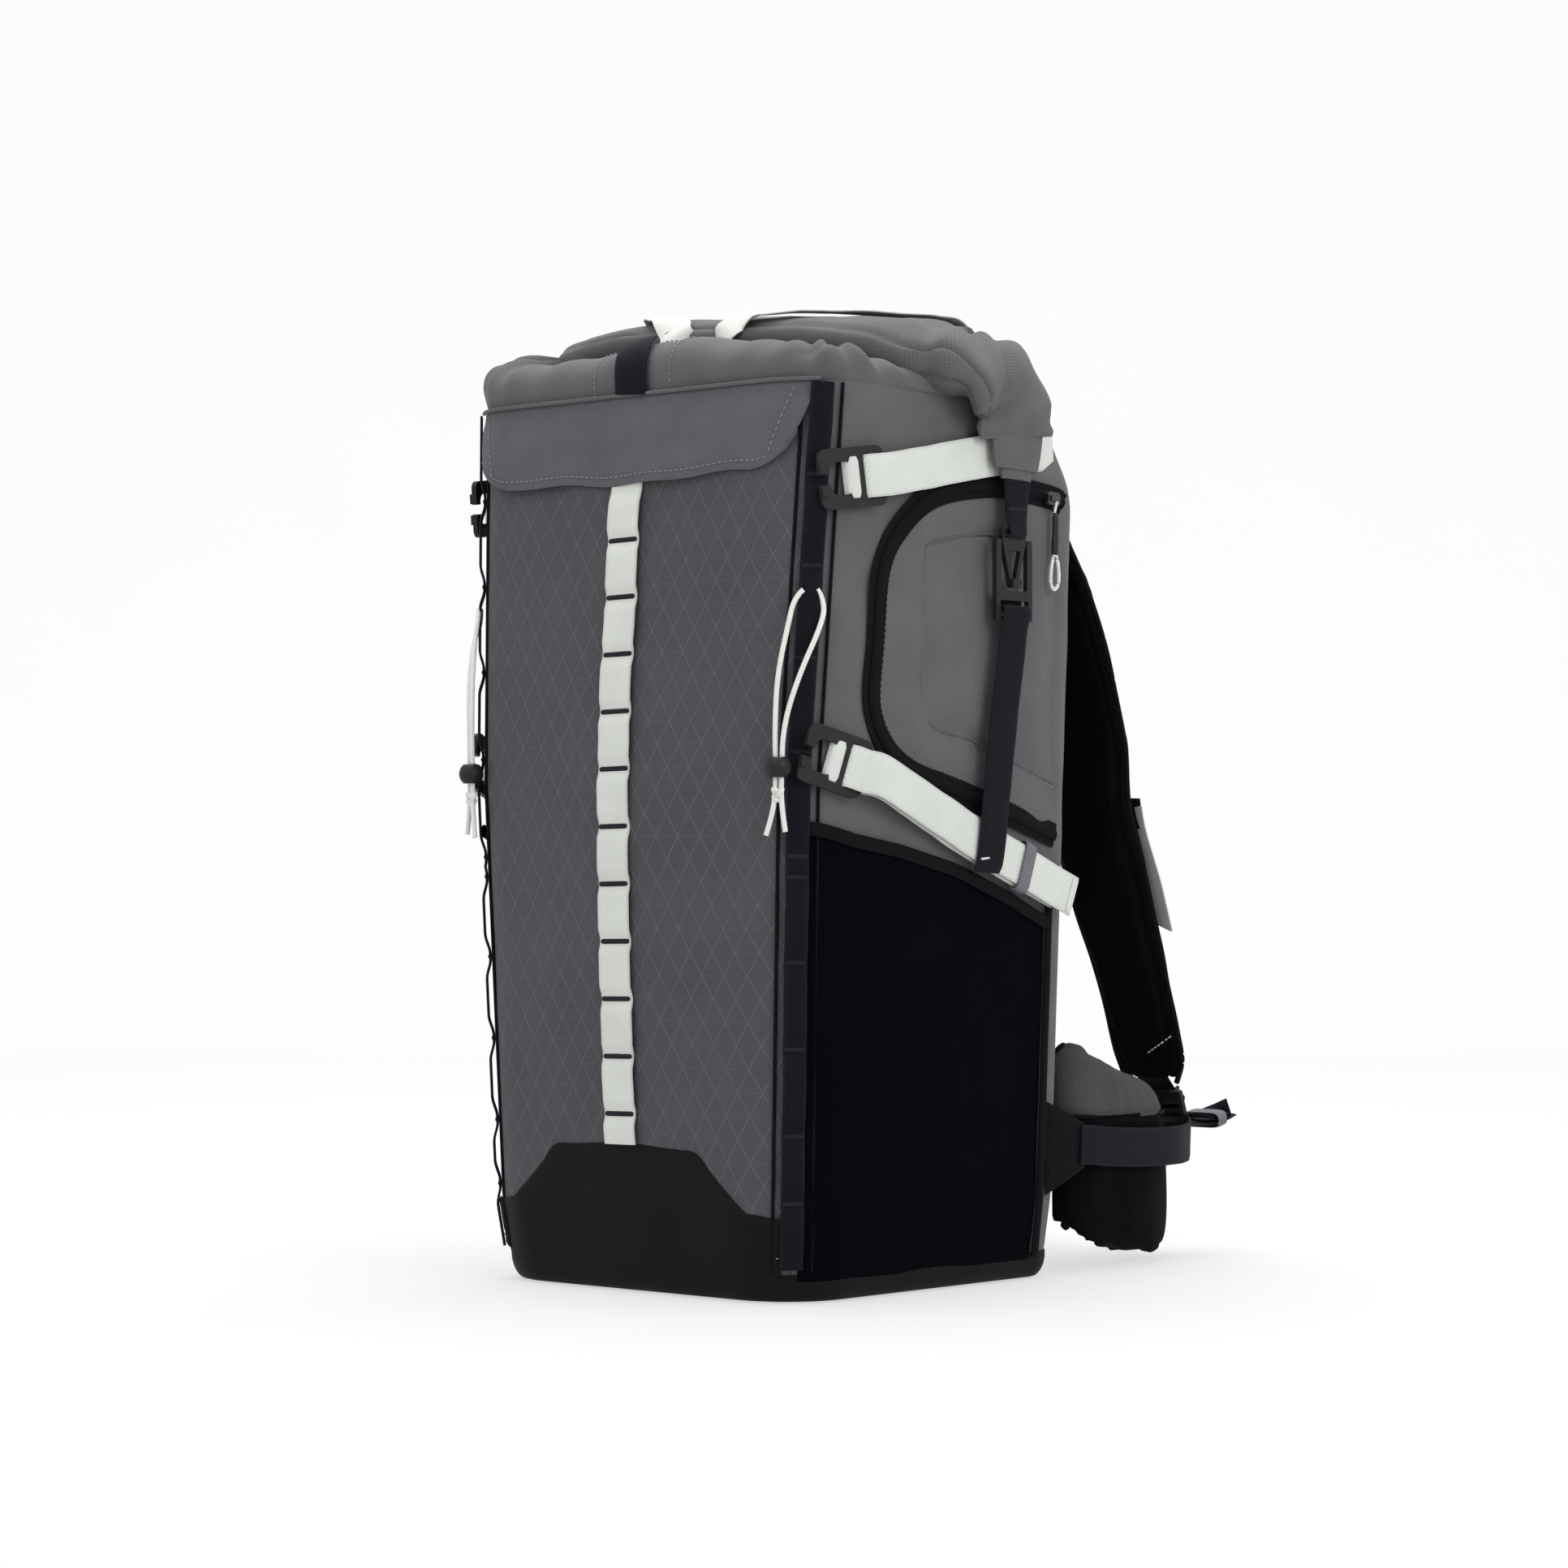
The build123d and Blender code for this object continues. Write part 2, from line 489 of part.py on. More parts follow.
save("sternum_buckle_right", Pos(0.6, 0, 0) * bk.solids()[0])
save("sternum_buckle_left", Pos(-0.6, 0, 0) * mir(bk.solids()[0]))

# ------------------------------------------------------------------ hip belt wings
wing_path = [(131.0, 136.4), (129.5, 180.0), (123.5, 234.0), (106.0, 266.0), (80.0, 288.0)]
wing_z = [(21.0, 146.0), (12.0, 124.0), (4.0, 99.0), (6.0, 84.0), (16.0, 66.0)]
wing_rings = []
for i, ((x, y), (z0, z1)) in enumerate(zip(wing_path, wing_z)):
    a = wing_path[max(i - 1, 0)]
    b = wing_path[min(i + 1, len(wing_path) - 1)]
    t = Vector(b[0] - a[0], b[1] - a[1], 0).normalized()
    n = Vector(-t.Y, t.X, 0)
    th = 12.0 if 0 < i < 4 else 8.0
    prof = [(0, z0 + 4), (0, z1 - 4), (-3, z1), (-(th - 3), z1), (-th, z1 - 4), (-th, z0 + 4), (-(th - 3), z0), (-3, z0)]
    wing_rings.append([(x - n.X * d, y - n.Y * d, z) for d, z in prof])
wing_r = loft_rings(wing_rings)
save("hip_wing_right", wing_r)
save("hip_wing_left", mir(wing_r))
hb_w = strap([(75.4, 286.6, 41.0), (66.0, 293.0, 40.0), (60.0, 296.0, 40.0)], WEB * 1.4, 2.0,
             [(0.6, 0.8, 0), (0.5, 0.86, 0), (0.45, 0.9, 0)])
save("hip_webbing_right", hb_w)
save("hip_webbing_left", mir(hb_w))
fb = Pos(46.4, 300.2, 40.0) * Box(25.0, 9.0, 42.0)
fb = fillet(fb.edges().filter_by(Axis.Y), 3.0)
fb = fb - Pos(38.0, 300.2, 40.0) * Box(18.0, 5.0, 32.0)
mb = Pos(-52.4, 300.2, 40.0) * Box(13.0, 8.0, 42.0) + Pos(-40.5, 300.2, 40.0) * Box(13.0, 3.6, 28.0)
save("hip_buckle_female", fb)
save("hip_buckle_male", mb)

# ------------------------------------------------------------------ shock cords, balls and knots
BALL = Vector(127.0, -127.4, 309.0)
ball = Sphere(BALL_D / 2) - Cylinder(4.7, 30)
ball_r = Pos(*BALL) * ball
save("cord_ball_right", ball_r)
save("cord_ball_left", mir(ball_r))
knot = Cylinder(5.6, 8.0) - Cylinder(4.0, 20)
knot = fillet(knot.edges().filter_by(GeomType.CIRCLE).group_by(SortBy.RADIUS)[-1], 1.5)
knot_r = Pos(126.6, -127.6, 294.0) * knot
save("cord_knots", Compound(children=[knot_r.solids()[0], mir(knot_r.solids()[0])]))
CORD_FRONT = [(130.6, -117.2, 408.0), (129.8, -121.8, 392.0), (126.2, -127.6, 362.0), (125.2, -128.6, 330.0),
              (125.4, -127.6, 303.0), (124.4, -128.4, 284.0), (120.2, -130.6, 270.0)]
CORD_REAR = [(142.0, -103.2, 405.0), (144.2, -109.4, 391.0), (136.8, -120.6, 362.0), (129.8, -126.4, 333.0),
             (128.8, -126.8, 306.0), (128.6, -127.0, 288.0), (131.4, -126.4, 272.0)]


def cord(points, d):
    pts = [V(p) for p in points]
    radii = []
    for a, b, c in zip(pts, pts[1:], pts[2:]):
        turn = (b - a).get_angle(c - b)
        radii.append(0.45 * min((b - a).length, (c - b).length) / math.tan(math.radians(turn) / 2))
    line = FilletPolyline(*pts, radius=radii)
    sec = Plane(origin=line @ 0, z_dir=line % 0) * Circle(d / 2)
    tube = sweep(sec, path=line, transition=Transition.ROUND)
    print("cord length", round(line.length, 1), "radii", [round(r, 1) for r in radii],
          "vol ratio", round(tube.volume / (math.pi * d * d / 4 * line.length), 4))
    return tube


cf = cord(CORD_FRONT, CORD_D)
cr = cord(CORD_REAR, CORD_D)
save("shock_cord_right_front", cf)
save("shock_cord_right_rear", cr)
save("shock_cord_left_front", mir(cf))
save("shock_cord_left_rear", mir(cr))

print(len(made), "nodes")
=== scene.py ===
import bpy
import bmesh
import math
import numpy as np
from mathutils import Vector, Matrix, noise
from mathutils.bvhtree import BVHTree


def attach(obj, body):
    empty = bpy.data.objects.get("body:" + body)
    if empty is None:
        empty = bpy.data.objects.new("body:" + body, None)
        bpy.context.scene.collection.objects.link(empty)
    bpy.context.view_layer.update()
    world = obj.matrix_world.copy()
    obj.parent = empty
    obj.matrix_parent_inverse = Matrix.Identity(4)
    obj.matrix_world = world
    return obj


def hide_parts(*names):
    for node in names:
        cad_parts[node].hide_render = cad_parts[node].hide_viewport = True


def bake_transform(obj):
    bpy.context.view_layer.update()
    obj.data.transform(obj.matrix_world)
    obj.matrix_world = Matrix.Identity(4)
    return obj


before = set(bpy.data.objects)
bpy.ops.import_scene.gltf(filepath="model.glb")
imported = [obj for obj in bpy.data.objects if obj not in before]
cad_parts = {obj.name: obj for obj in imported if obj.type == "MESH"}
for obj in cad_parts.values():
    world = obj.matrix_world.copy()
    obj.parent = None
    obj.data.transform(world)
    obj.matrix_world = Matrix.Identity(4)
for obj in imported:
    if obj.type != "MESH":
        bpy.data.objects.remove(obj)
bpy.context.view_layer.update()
MM = 0.001
COL = bpy.context.scene.collection


# ------------------------------------------------------------------ camera
cam_data = bpy.data.cameras.new("camera")
cam = bpy.data.objects.new("camera", cam_data)
COL.objects.link(cam)
AZ = math.radians(42.0)
R_ = Vector((math.cos(AZ), math.sin(AZ), 0.0))
FWD = Vector((-math.sin(AZ), math.cos(AZ), 0.0))
cam.location = FWD * -2.5 + R_ * 0.0123 + Vector((0, 0, 0.252))
PITCH = math.radians(1.17)
cam.rotation_euler = (math.pi / 2 + PITCH, 0, AZ)
cam_data.lens = 93.2
cam_data.sensor_width = 36.0
bpy.context.scene.camera = cam

# ------------------------------------------------------------------ node helpers
class NT:
    def __init__(self, name):
        self.m = bpy.data.materials.new(name)
        self.m.use_nodes = True
        self.t = self.m.node_tree
        self.t.nodes.clear()
        self.out = self.t.nodes.new("ShaderNodeOutputMaterial")
        self.b = self.t.nodes.new("ShaderNodeBsdfPrincipled")
        self.t.links.new(self.b.outputs[0], self.out.inputs[0])

    def n(self, kind, **kw):
        nd = self.t.nodes.new(kind)
        for k, v in kw.items():
            setattr(nd, k, v)
        return nd

    def put(self, sock, val):
        if hasattr(val, "is_output") or isinstance(val, bpy.types.NodeSocket):
            self.t.links.new(val, sock)
        else:
            sock.default_value = val

    def math(self, op, a, b=None, c=None):
        nd = self.n("ShaderNodeMath", operation=op)
        self.put(nd.inputs[0], a)
        if b is not None:
            self.put(nd.inputs[1], b)
        if c is not None:
            self.put(nd.inputs[2], c)
        return nd.outputs[0]

    def uv(self):
        nd = self.n("ShaderNodeUVMap")
        nd.uv_map = "mm"
        sp = self.n("ShaderNodeSeparateXYZ")
        self.t.links.new(nd.outputs[0], sp.inputs[0])
        return nd.outputs[0], sp.outputs[0], sp.outputs[1]

    def obj(self):
        return self.n("ShaderNodeTexCoord").outputs["Object"]

    def noise(self, vec, scale, detail=3.0, rough=0.55):
        nd = self.n("ShaderNodeTexNoise")
        self.put(nd.inputs["Vector"], vec)
        nd.inputs["Scale"].default_value = scale
        nd.inputs["Detail"].default_value = detail
        nd.inputs["Roughness"].default_value = rough
        return nd.outputs["Fac"]

    def ramp(self, fac, stops):
        nd = self.n("ShaderNodeValToRGB")
        el = nd.color_ramp.elements
        while len(el) < len(stops):
            el.new(0.5)
        for e, (p, c) in zip(el, stops):
            e.position = p
            e.color = (c[0], c[1], c[2], 1.0)
        self.put(nd.inputs[0], fac)
        return nd.outputs[0]

    def mix(self, fac, a, b, mode="MIX"):
        nd = self.n("ShaderNodeMix", data_type="RGBA", blend_type=mode)
        self.put(nd.inputs[0], fac)
        for s, v in ((nd.inputs[6], a), (nd.inputs[7], b)):
            if isinstance(v, (tuple, list)):
                v = (v[0], v[1], v[2], 1.0)
            self.put(s, v)
        return nd.outputs[2]

    def tri(self, x, period):
        """Triangle wave 0..1 with that period."""
        f = self.math("FRACT", self.math("DIVIDE", x, period))
        return self.math("MULTIPLY", self.math("ABSOLUTE", self.math("SUBTRACT", f, 0.5)), 2.0)

    def bump(self, h, strength, dist):
        nd = self.n("ShaderNodeBump")
        nd.inputs["Strength"].default_value = strength
        nd.inputs["Distance"].default_value = dist
        self.put(nd.inputs["Height"], h)
        self.t.links.new(nd.outputs[0], self.b.inputs["Normal"])
        return nd

    def col(self, c):
        if isinstance(c, (tuple, list)):
            c = (c[0], c[1], c[2], 1.0)
        self.put(self.b.inputs["Base Color"], c)

    def set(self, **kw):
        for k, v in kw.items():
            k = k.replace("_", " ")
            if isinstance(v, tuple) and len(v) == 3:
                v = (v[0], v[1], v[2], 1.0)
            self.b.inputs[k].default_value = v
        return self


def shade(c, k):
    return tuple(max(0.0, x * k) for x in c)


def twill(name, c, period=2.0, contrast=0.30, sheen=0.25, rough=0.86, bump=0.35, big=0.10):
    m = NT(name)
    vec, u, v = m.uv()
    d = m.math("ADD", m.math("MULTIPLY", u, 0.8), v)
    line = m.tri(d, period)
    weft = m.tri(m.math("SUBTRACT", u, m.math("MULTIPLY", v, 0.12)), period * 0.62)
    grain = m.noise(vec, 0.9, 2.0)
    slub = m.noise(m.obj(), 26.0, 4.0)
    wv = m.math("ADD", m.math("MULTIPLY", line, 0.6), m.math("MULTIPLY", weft, 0.4))
    mixv = m.math("ADD", m.math("MULTIPLY", wv, 0.55), m.math("MULTIPLY", grain, 0.45))
    base = m.ramp(mixv, [(0.15, shade(c, 1 - contrast)), (0.85, shade(c, 1 + contrast))])
    base = m.mix(m.ramp(slub, [(0.35, (0, 0, 0)), (0.7, (1, 1, 1))]), base,
                 shade(c, 1 + big), "MIX") if False else base
    tone = m.ramp(slub, [(0.3, (1 - big,) * 3), (0.72, (1 + big,) * 3)])
    m.col(m.mix(1.0, base, tone, "MULTIPLY"))
    m.put(m.b.inputs["Roughness"], m.math("ADD", m.math("MULTIPLY", grain, 0.12), rough - 0.06))
    m.set(Sheen_Weight=sheen * 0.3, Sheen_Roughness=0.5, Specular_IOR_Level=0.1)
    m.bump(m.math("ADD", mixv, m.math("MULTIPLY", slub, 0.6)), bump, 0.0004)
    return m.m


def ripstop(name, c, cl, w=16.5, h=27.0):
    m = NT(name)
    vec, u, v = m.uv()
    jit = m.math("MULTIPLY", m.math("SUBTRACT", m.noise(vec, 0.02, 2.0), 0.5), 2.2)
    uu = m.math("ADD", u, jit)
    a = m.math("DIVIDE", uu, w)
    b = m.math("DIVIDE", v, h)
    def line(x, wd, sharp=1.0):
        f = m.math("FRACT", m.math("ADD", x, 100.5))
        d = m.math("ABSOLUTE", m.math("SUBTRACT", f, 0.5))
        nd = m.n("ShaderNodeMapRange", interpolation_type="SMOOTHSTEP")
        m.put(nd.inputs[0], d)
        nd.inputs[1].default_value = wd * 0.35
        nd.inputs[2].default_value = wd
        nd.inputs[3].default_value = 1.0
        nd.inputs[4].default_value = 0.0
        return nd.outputs[0]
    l1 = line(m.math("ADD", a, b), 0.034)
    l2 = line(m.math("SUBTRACT", a, b), 0.034)
    l3 = line(m.math("MULTIPLY", b, 2.0), 0.03)
    lines = m.math("MAXIMUM", m.math("MAXIMUM", l1, l2), m.math("MULTIPLY", l3, 0.42))
    thread = m.math("ADD", m.math("MULTIPLY", m.tri(u, 1.3), 0.5), m.math("MULTIPLY", m.tri(v, 1.1), 0.5))
    grain = m.noise(vec, 1.1, 2.0)
    slub = m.noise(m.obj(), 18.0, 4.0)
    mx = m.math("ADD", m.math("MULTIPLY", thread, 0.5), m.math("MULTIPLY", grain, 0.5))
    base = m.ramp(mx, [(0.15, shade(c, 0.84)), (0.85, shade(c, 1.14))])
    tone = m.ramp(slub, [(0.3, (0.93,) * 3), (0.72, (1.07,) * 3)])
    base = m.mix(1.0, base, tone, "MULTIPLY")
    fade = m.math("ADD", 0.62, m.math("MULTIPLY", m.noise(vec, 0.11, 2.0), 0.5))
    m.col(m.mix(m.math("MULTIPLY", lines, fade), base, cl))
    m.put(m.b.inputs["Roughness"], m.math("ADD", 0.68, m.math("MULTIPLY", grain, 0.12)))
    m.set(Sheen_Weight=0.03, Sheen_Roughness=0.5, Specular_IOR_Level=0.16)
    m.bump(m.math("ADD", m.math("MULTIPLY", lines, 1.3), mx), 0.35, 0.0004)
    return m.m


def webbing(name, c, rib=1.9, contrast=0.14, rough=0.72, sheen=0.2, edge=0.82, half=12.5):
    m = NT(name)
    vec, u, v = m.uv()
    zig = m.math("MULTIPLY", m.tri(u, 6.2), 2.2)
    line = m.tri(m.math("ADD", v, zig), rib)
    col = m.tri(u, 1.55)
    grain = m.noise(vec, 0.8, 2.0)
    big = m.noise(m.obj(), 30.0, 3.0)
    mx = m.math("ADD", m.math("MULTIPLY", line, 0.45), m.math("ADD", m.math("MULTIPLY", col, 0.25), m.math("MULTIPLY", grain, 0.3)))
    base = m.ramp(mx, [(0.12, shade(c, 1 - contrast * 1.4)), (0.8, shade(c, 1 + contrast * 0.5))])
    # band along both long edges in shade(c, edge): painted shade on the white and grey webbing (edge 0.82), painted
    # highlight on the black webbing (edge 1.25)
    ed = m.n("ShaderNodeMapRange", interpolation_type="SMOOTHSTEP")
    m.put(ed.inputs[0], m.math("ABSOLUTE", u))
    ed.inputs[1].default_value = half - 1.9
    ed.inputs[2].default_value = half - 0.9
    ed.inputs[3].default_value = 0.0
    ed.inputs[4].default_value = 1.0
    base = m.mix(ed.outputs[0], base, shade(c, edge))
    tone = m.ramp(big, [(0.3, (0.95,) * 3), (0.72, (1.04,) * 3)])
    m.col(m.mix(1.0, base, tone, "MULTIPLY"))
    m.put(m.b.inputs["Roughness"], m.math("ADD", rough - 0.05, m.math("MULTIPLY", grain, 0.1)))
    m.set(Sheen_Weight=sheen * 0.1, Sheen_Roughness=0.45, Specular_IOR_Level=0.08)
    m.bump(mx, 0.5, 0.0005)
    return m.m


def coated(name, c, rough=0.55, grain_mm=1.4, coat=0.0, contrast=0.25, spec=0.06):
    m = NT(name)
    vec, u, v = m.uv()
    th = m.math("ADD", m.math("MULTIPLY", m.tri(u, grain_mm), 0.5), m.math("MULTIPLY", m.tri(v, grain_mm * 0.9), 0.5))
    g = m.noise(vec, 0.7, 3.0)
    big = m.noise(m.obj(), 22.0, 4.0)
    mx = m.math("ADD", m.math("MULTIPLY", th, 0.5), m.math("MULTIPLY", g, 0.5))
    base = m.ramp(mx, [(0.1, shade(c, 1 - contrast)), (0.9, shade(c, 1 + contrast))])
    scuff = m.ramp(m.noise(m.obj(), 90.0, 6.0, 0.7), [(0.62, (0, 0, 0)), (0.8, (0.16, 0.16, 0.16))])
    base = m.mix(scuff, base, shade(c, 3.0))
    m.col(base)
    m.put(m.b.inputs["Roughness"], m.math("ADD", rough - 0.1, m.math("MULTIPLY", big, 0.25)))
    m.set(Sheen_Weight=0.0, Specular_IOR_Level=spec, Coat_Weight=coat, Coat_Roughness=0.4)
    m.bump(mx, 0.3, 0.0004)
    return m.m


def mesh_fabric(name, c, cell=2.6, contrast=0.6, rough=0.9, sheen=0.35):
    m = NT(name)
    vec, u, v = m.uv()
    vo = m.n("ShaderNodeTexVoronoi", feature="F1")
    m.put(vo.inputs["Vector"], vec)
    vo.inputs["Scale"].default_value = 1.0 / cell
    vo.inputs["Randomness"].default_value = 0.15
    d = vo.outputs["Distance"]
    g = m.noise(vec, 0.8, 2.0)
    base = m.ramp(d, [(0.12, shade(c, 1 - contrast)), (0.55, shade(c, 1 + contrast * 0.6))])
    tone = m.ramp(m.noise(m.obj(), 25.0, 3.0), [(0.3, (0.88,) * 3), (0.72, (1.12,) * 3)])
    m.col(m.mix(1.0, base, tone, "MULTIPLY"))
    m.put(m.b.inputs["Roughness"], m.math("ADD", rough - 0.06, m.math("MULTIPLY", g, 0.1)))
    m.set(Sheen_Weight=sheen, Sheen_Roughness=0.55, Specular_IOR_Level=0.05)
    m.bump(d, 0.55, 0.0008)
    return m.m


def plastic(name, c, rough=0.5, grain=900.0, coords="obj"):
    m = NT(name)
    o = m.obj()
    g = m.noise(o, grain, 2.0)
    w = m.noise(o, 60.0, 5.0, 0.65)
    base = m.ramp(w, [(0.3, shade(c, 0.85)), (0.7, shade(c, 1.25))])
    m.col(base)
    m.put(m.b.inputs["Roughness"], m.math("ADD", rough - 0.08, m.math("MULTIPLY", w, 0.2)))
    m.set(Specular_IOR_Level=0.2)
    m.bump(g, 0.14, 0.0003)
    return m.m


def objfab(name, c, cell=1.2, contrast=0.3, rough=0.9, sheen=0.3, bump=0.45):
    """Cloth whose weave is laid by object coordinates, for simulated pads."""
    m = NT(name)
    o = m.obj()
    vo = m.n("ShaderNodeTexVoronoi", feature="F1")
    m.put(vo.inputs["Vector"], o)
    vo.inputs["Scale"].default_value = 1000.0 / cell
    vo.inputs["Randomness"].default_value = 0.25
    d = vo.outputs["Distance"]
    g = m.noise(o, 700.0, 2.0)
    base = m.ramp(d, [(0.1, shade(c, 1 - contrast)), (0.6, shade(c, 1 + contrast * 0.6))])
    tone = m.ramp(m.noise(o, 22.0, 4.0), [(0.3, (0.88,) * 3), (0.72, (1.12,) * 3)])
    m.col(m.mix(1.0, base, tone, "MULTIPLY"))
    m.put(m.b.inputs["Roughness"], m.math("ADD", rough - 0.06, m.math("MULTIPLY", g, 0.1)))
    m.set(Sheen_Weight=sheen * 0.02, Sheen_Roughness=0.5, Specular_IOR_Level=0.03)
    m.bump(d, bump, 0.0006)
    return m.m


GREY = (0.098, 0.096, 0.100)
M_GREY = twill("grey_twill", GREY, sheen=0.22)
M_FLAP = twill("flap_twill", (0.090, 0.089, 0.097), sheen=0.22)
M_RIP = ripstop("diamond_ripstop", (0.062, 0.062, 0.068), (0.098, 0.098, 0.106))
# the default edge 0.82 paints shade along the white webbing's edges
M_WHITE = webbing("white_webbing", (0.60, 0.62, 0.575))
M_WHITE20 = webbing("white_webbing_narrow", (0.60, 0.62, 0.575), half=10.0)
# edge=1.25 paints a highlight along the black webbing's edges
M_BLACK = webbing("black_webbing", (0.0060, 0.0064, 0.0100), contrast=0.5, edge=1.25, sheen=0.3)
M_BLACKN = webbing("black_webbing_narrow", (0.0060, 0.0064, 0.0100), contrast=0.5, edge=1.25, half=6.8)
M_STRETCH = coated("stretch_knit", (0.0016, 0.0017, 0.0032), rough=0.85, grain_mm=1.2, contrast=0.3, spec=0.02)
M_BASE = coated("coated_base", (0.0058, 0.0058, 0.0062), rough=0.55, grain_mm=1.9, contrast=0.3, spec=0.07)
M_TAPE = coated("zipper_tape_weave", (0.0045, 0.0046, 0.0062), rough=0.7, grain_mm=1.3)
M_PIPE = coated("black_piping", (0.0042, 0.0042, 0.0055), rough=0.7, grain_mm=1.1)
M_PAD = objfab("black_spacer_mesh", (0.0024, 0.0024, 0.0030), cell=2.2, contrast=0.5)
M_PADG = objfab("grey_pad_twill", (0.062, 0.060, 0.064), cell=1.1, contrast=0.2)
M_LINING = twill("lining_cloth", (0.16, 0.16, 0.17), period=1.3, contrast=0.1)
M_HOOK = plastic("hook_plastic", (0.0125, 0.0125, 0.0135), rough=0.5)
M_BALL = plastic("ball_plastic", (0.014, 0.014, 0.015), rough=0.42)
M_SHEET = plastic("sheet_plastic", (0.03, 0.03, 0.031), rough=0.6)
M_THREADW = plastic("white_thread", (0.55, 0.57, 0.54), rough=0.85, grain=2200.0)
M_THREADG = plastic("grey_thread", (0.20, 0.20, 0.205), rough=0.85, grain=2200.0)
M_THREADB = plastic("black_thread", (0.010, 0.010, 0.013), rough=0.8, grain=2200.0)
M_ELASTIC = webbing("grey_elastic", (0.16, 0.155, 0.17), rib=1.3, contrast=0.3, half=5.0)


def metal(name, c, rough=0.35):
    m = NT(name)
    o = m.obj()
    w = m.noise(o, 250.0, 4.0)
    m.col(m.ramp(w, [(0.3, shade(c, 0.85)), (0.7, shade(c, 1.1))]))
    m.put(m.b.inputs["Roughness"], m.math("ADD", rough, m.math("MULTIPLY", w, 0.2)))
    m.set(Metallic=1.0)
    m.bump(w, 0.1, 0.0003)
    return m.m


M_STEEL = metal("dark_steel", (0.09, 0.09, 0.095), 0.35)
M_ALU = metal("stay_aluminium", (0.55, 0.56, 0.57), 0.3)


def cord_mat(name, c):
    m = NT(name)
    o = m.obj()
    sp = m.n("ShaderNodeSeparateXYZ")
    m.put(sp.inputs[0], o)
    a = m.math("ADD", m.math("MULTIPLY", sp.outputs[2], 1000.0), m.math("MULTIPLY", sp.outputs[0], 900.0))
    b = m.math("SUBTRACT", m.math("MULTIPLY", sp.outputs[2], 1000.0), m.math("MULTIPLY", sp.outputs[0], 900.0))
    w = m.math("MAXIMUM", m.tri(a, 1.5), m.tri(b, 1.5))
    base = m.ramp(w, [(0.3, shade(c, 0.72)), (0.9, c)])
    m.col(base)
    m.put(m.b.inputs["Roughness"], m.math("ADD", 0.7, m.math("MULTIPLY", w, 0.1)))
    m.set(Sheen_Weight=0.2, Specular_IOR_Level=0.3)
    m.bump(w, 0.5, 0.0005)
    return m.m


M_CORD = cord_mat("white_braid", (0.74, 0.77, 0.71))

# ------------------------------------------------------------------ body surface, millimetres
LEVELS = [(0.0, 129.0, -117.0, 130.0), (16.0, 129.0, -117.0, 130.0), (50.0, 133.0, -121.0, 132.0),
          (300.0, 143.11, -127.0, 132.0), (532.0, 152.5, -116.0, 132.0), (640.0, 156.87, -116.0, 132.0)]
RF, RB = 48.0, 25.0


def dims(z):
    for a, b in zip(LEVELS, LEVELS[1:]):
        if z <= b[0] or b is LEVELS[-1]:
            k = (z - a[0]) / (b[0] - a[0])
            k = max(0.0, k)
            return tuple(a[i] + k * (b[i] - a[i]) for i in (1, 2, 3))


def smooth(x, a, b):
    t = min(1.0, max(0.0, (x - a) / (b - a)))
    return t * t * (3 - 2 * t)


def nz(x, y, z=0.0, s=1.0):
    return noise.noise(Vector((x * s, y * s, z * s)))


def bottom_inset(z):
    if z >= 16:
        return 0.0
    t = (16 - z) / 16.0
    return 10.5 * (1 - math.sqrt(max(0.0, 1 - (t * 0.93) ** 2)))


def bulge(u, z):
    a = abs(u)
    prof = math.sin(math.pi * min(1, max(0, (z - 30) / 470.0))) ** 0.7 if 30 < z < 500 else 0.0
    b = 0.0
    if a < 1.0:
        b += 3.6 * (math.cos(a * math.pi / 2) ** 1.2) * prof
    if 2.0 < a < 3.0:
        b += 2.0 * math.sin((a - 2.0) * math.pi) * prof
    b -= 18.0 * smooth(z, 470.0, 533.0) * smooth(a, 2.5, 3.0) * (1 - smooth(a, 4.0, 4.6))
    return b


def surf(u, z, off=0.0, bul=True):
    """Point and outward normal of the pack's outer face; u runs 0 front centre .. 5 back centre."""
    s = 1 if u >= 0 else -1
    a = abs(u)
    hw, yf, yb = dims(z)
    ins = bottom_inset(z)
    o = off + (bulge(u, z) if bul else 0.0) - ins
    if a <= 1:
        x, y, n = a * (hw - RF), yf, (0, -1)
    elif a <= 2:
        t = math.radians(-90 + 90 * (a - 1))
        x, y, n = hw - RF + RF * math.cos(t), yf + RF + RF * math.sin(t), (math.cos(t), math.sin(t))
    elif a <= 3:
        x, y, n = hw, yf + RF + (a - 2) * (yb - RB - yf - RF), (1, 0)
    elif a <= 4:
        t = math.radians(90 * (a - 3))
        x, y, n = hw - RB + RB * math.cos(t), yb - RB + RB * math.sin(t), (math.cos(t), math.sin(t))
    else:
        x, y, n = (5 - a) * (hw - RB), yb, (0, 1)
    return Vector((s * (x + n[0] * o), y + n[1] * o, z)), Vector((s * n[0], n[1], 0))


def slen(u, z):
    s = 1 if u >= 0 else -1
    a = abs(u)
    hw, yf, yb = dims(z)
    segs = [hw - RF, RF * math.pi / 2, yb - RB - yf - RF, RB * math.pi / 2, hw - RB]
    tot = 0.0
    for i, l in enumerate(segs):
        tot += l * min(1.0, max(0.0, a - i))
    return s * tot


def u_side(y, z):
    hw, yf, yb = dims(z)
    return 2 + (y - yf - RF) / (yb - RB - yf - RF)


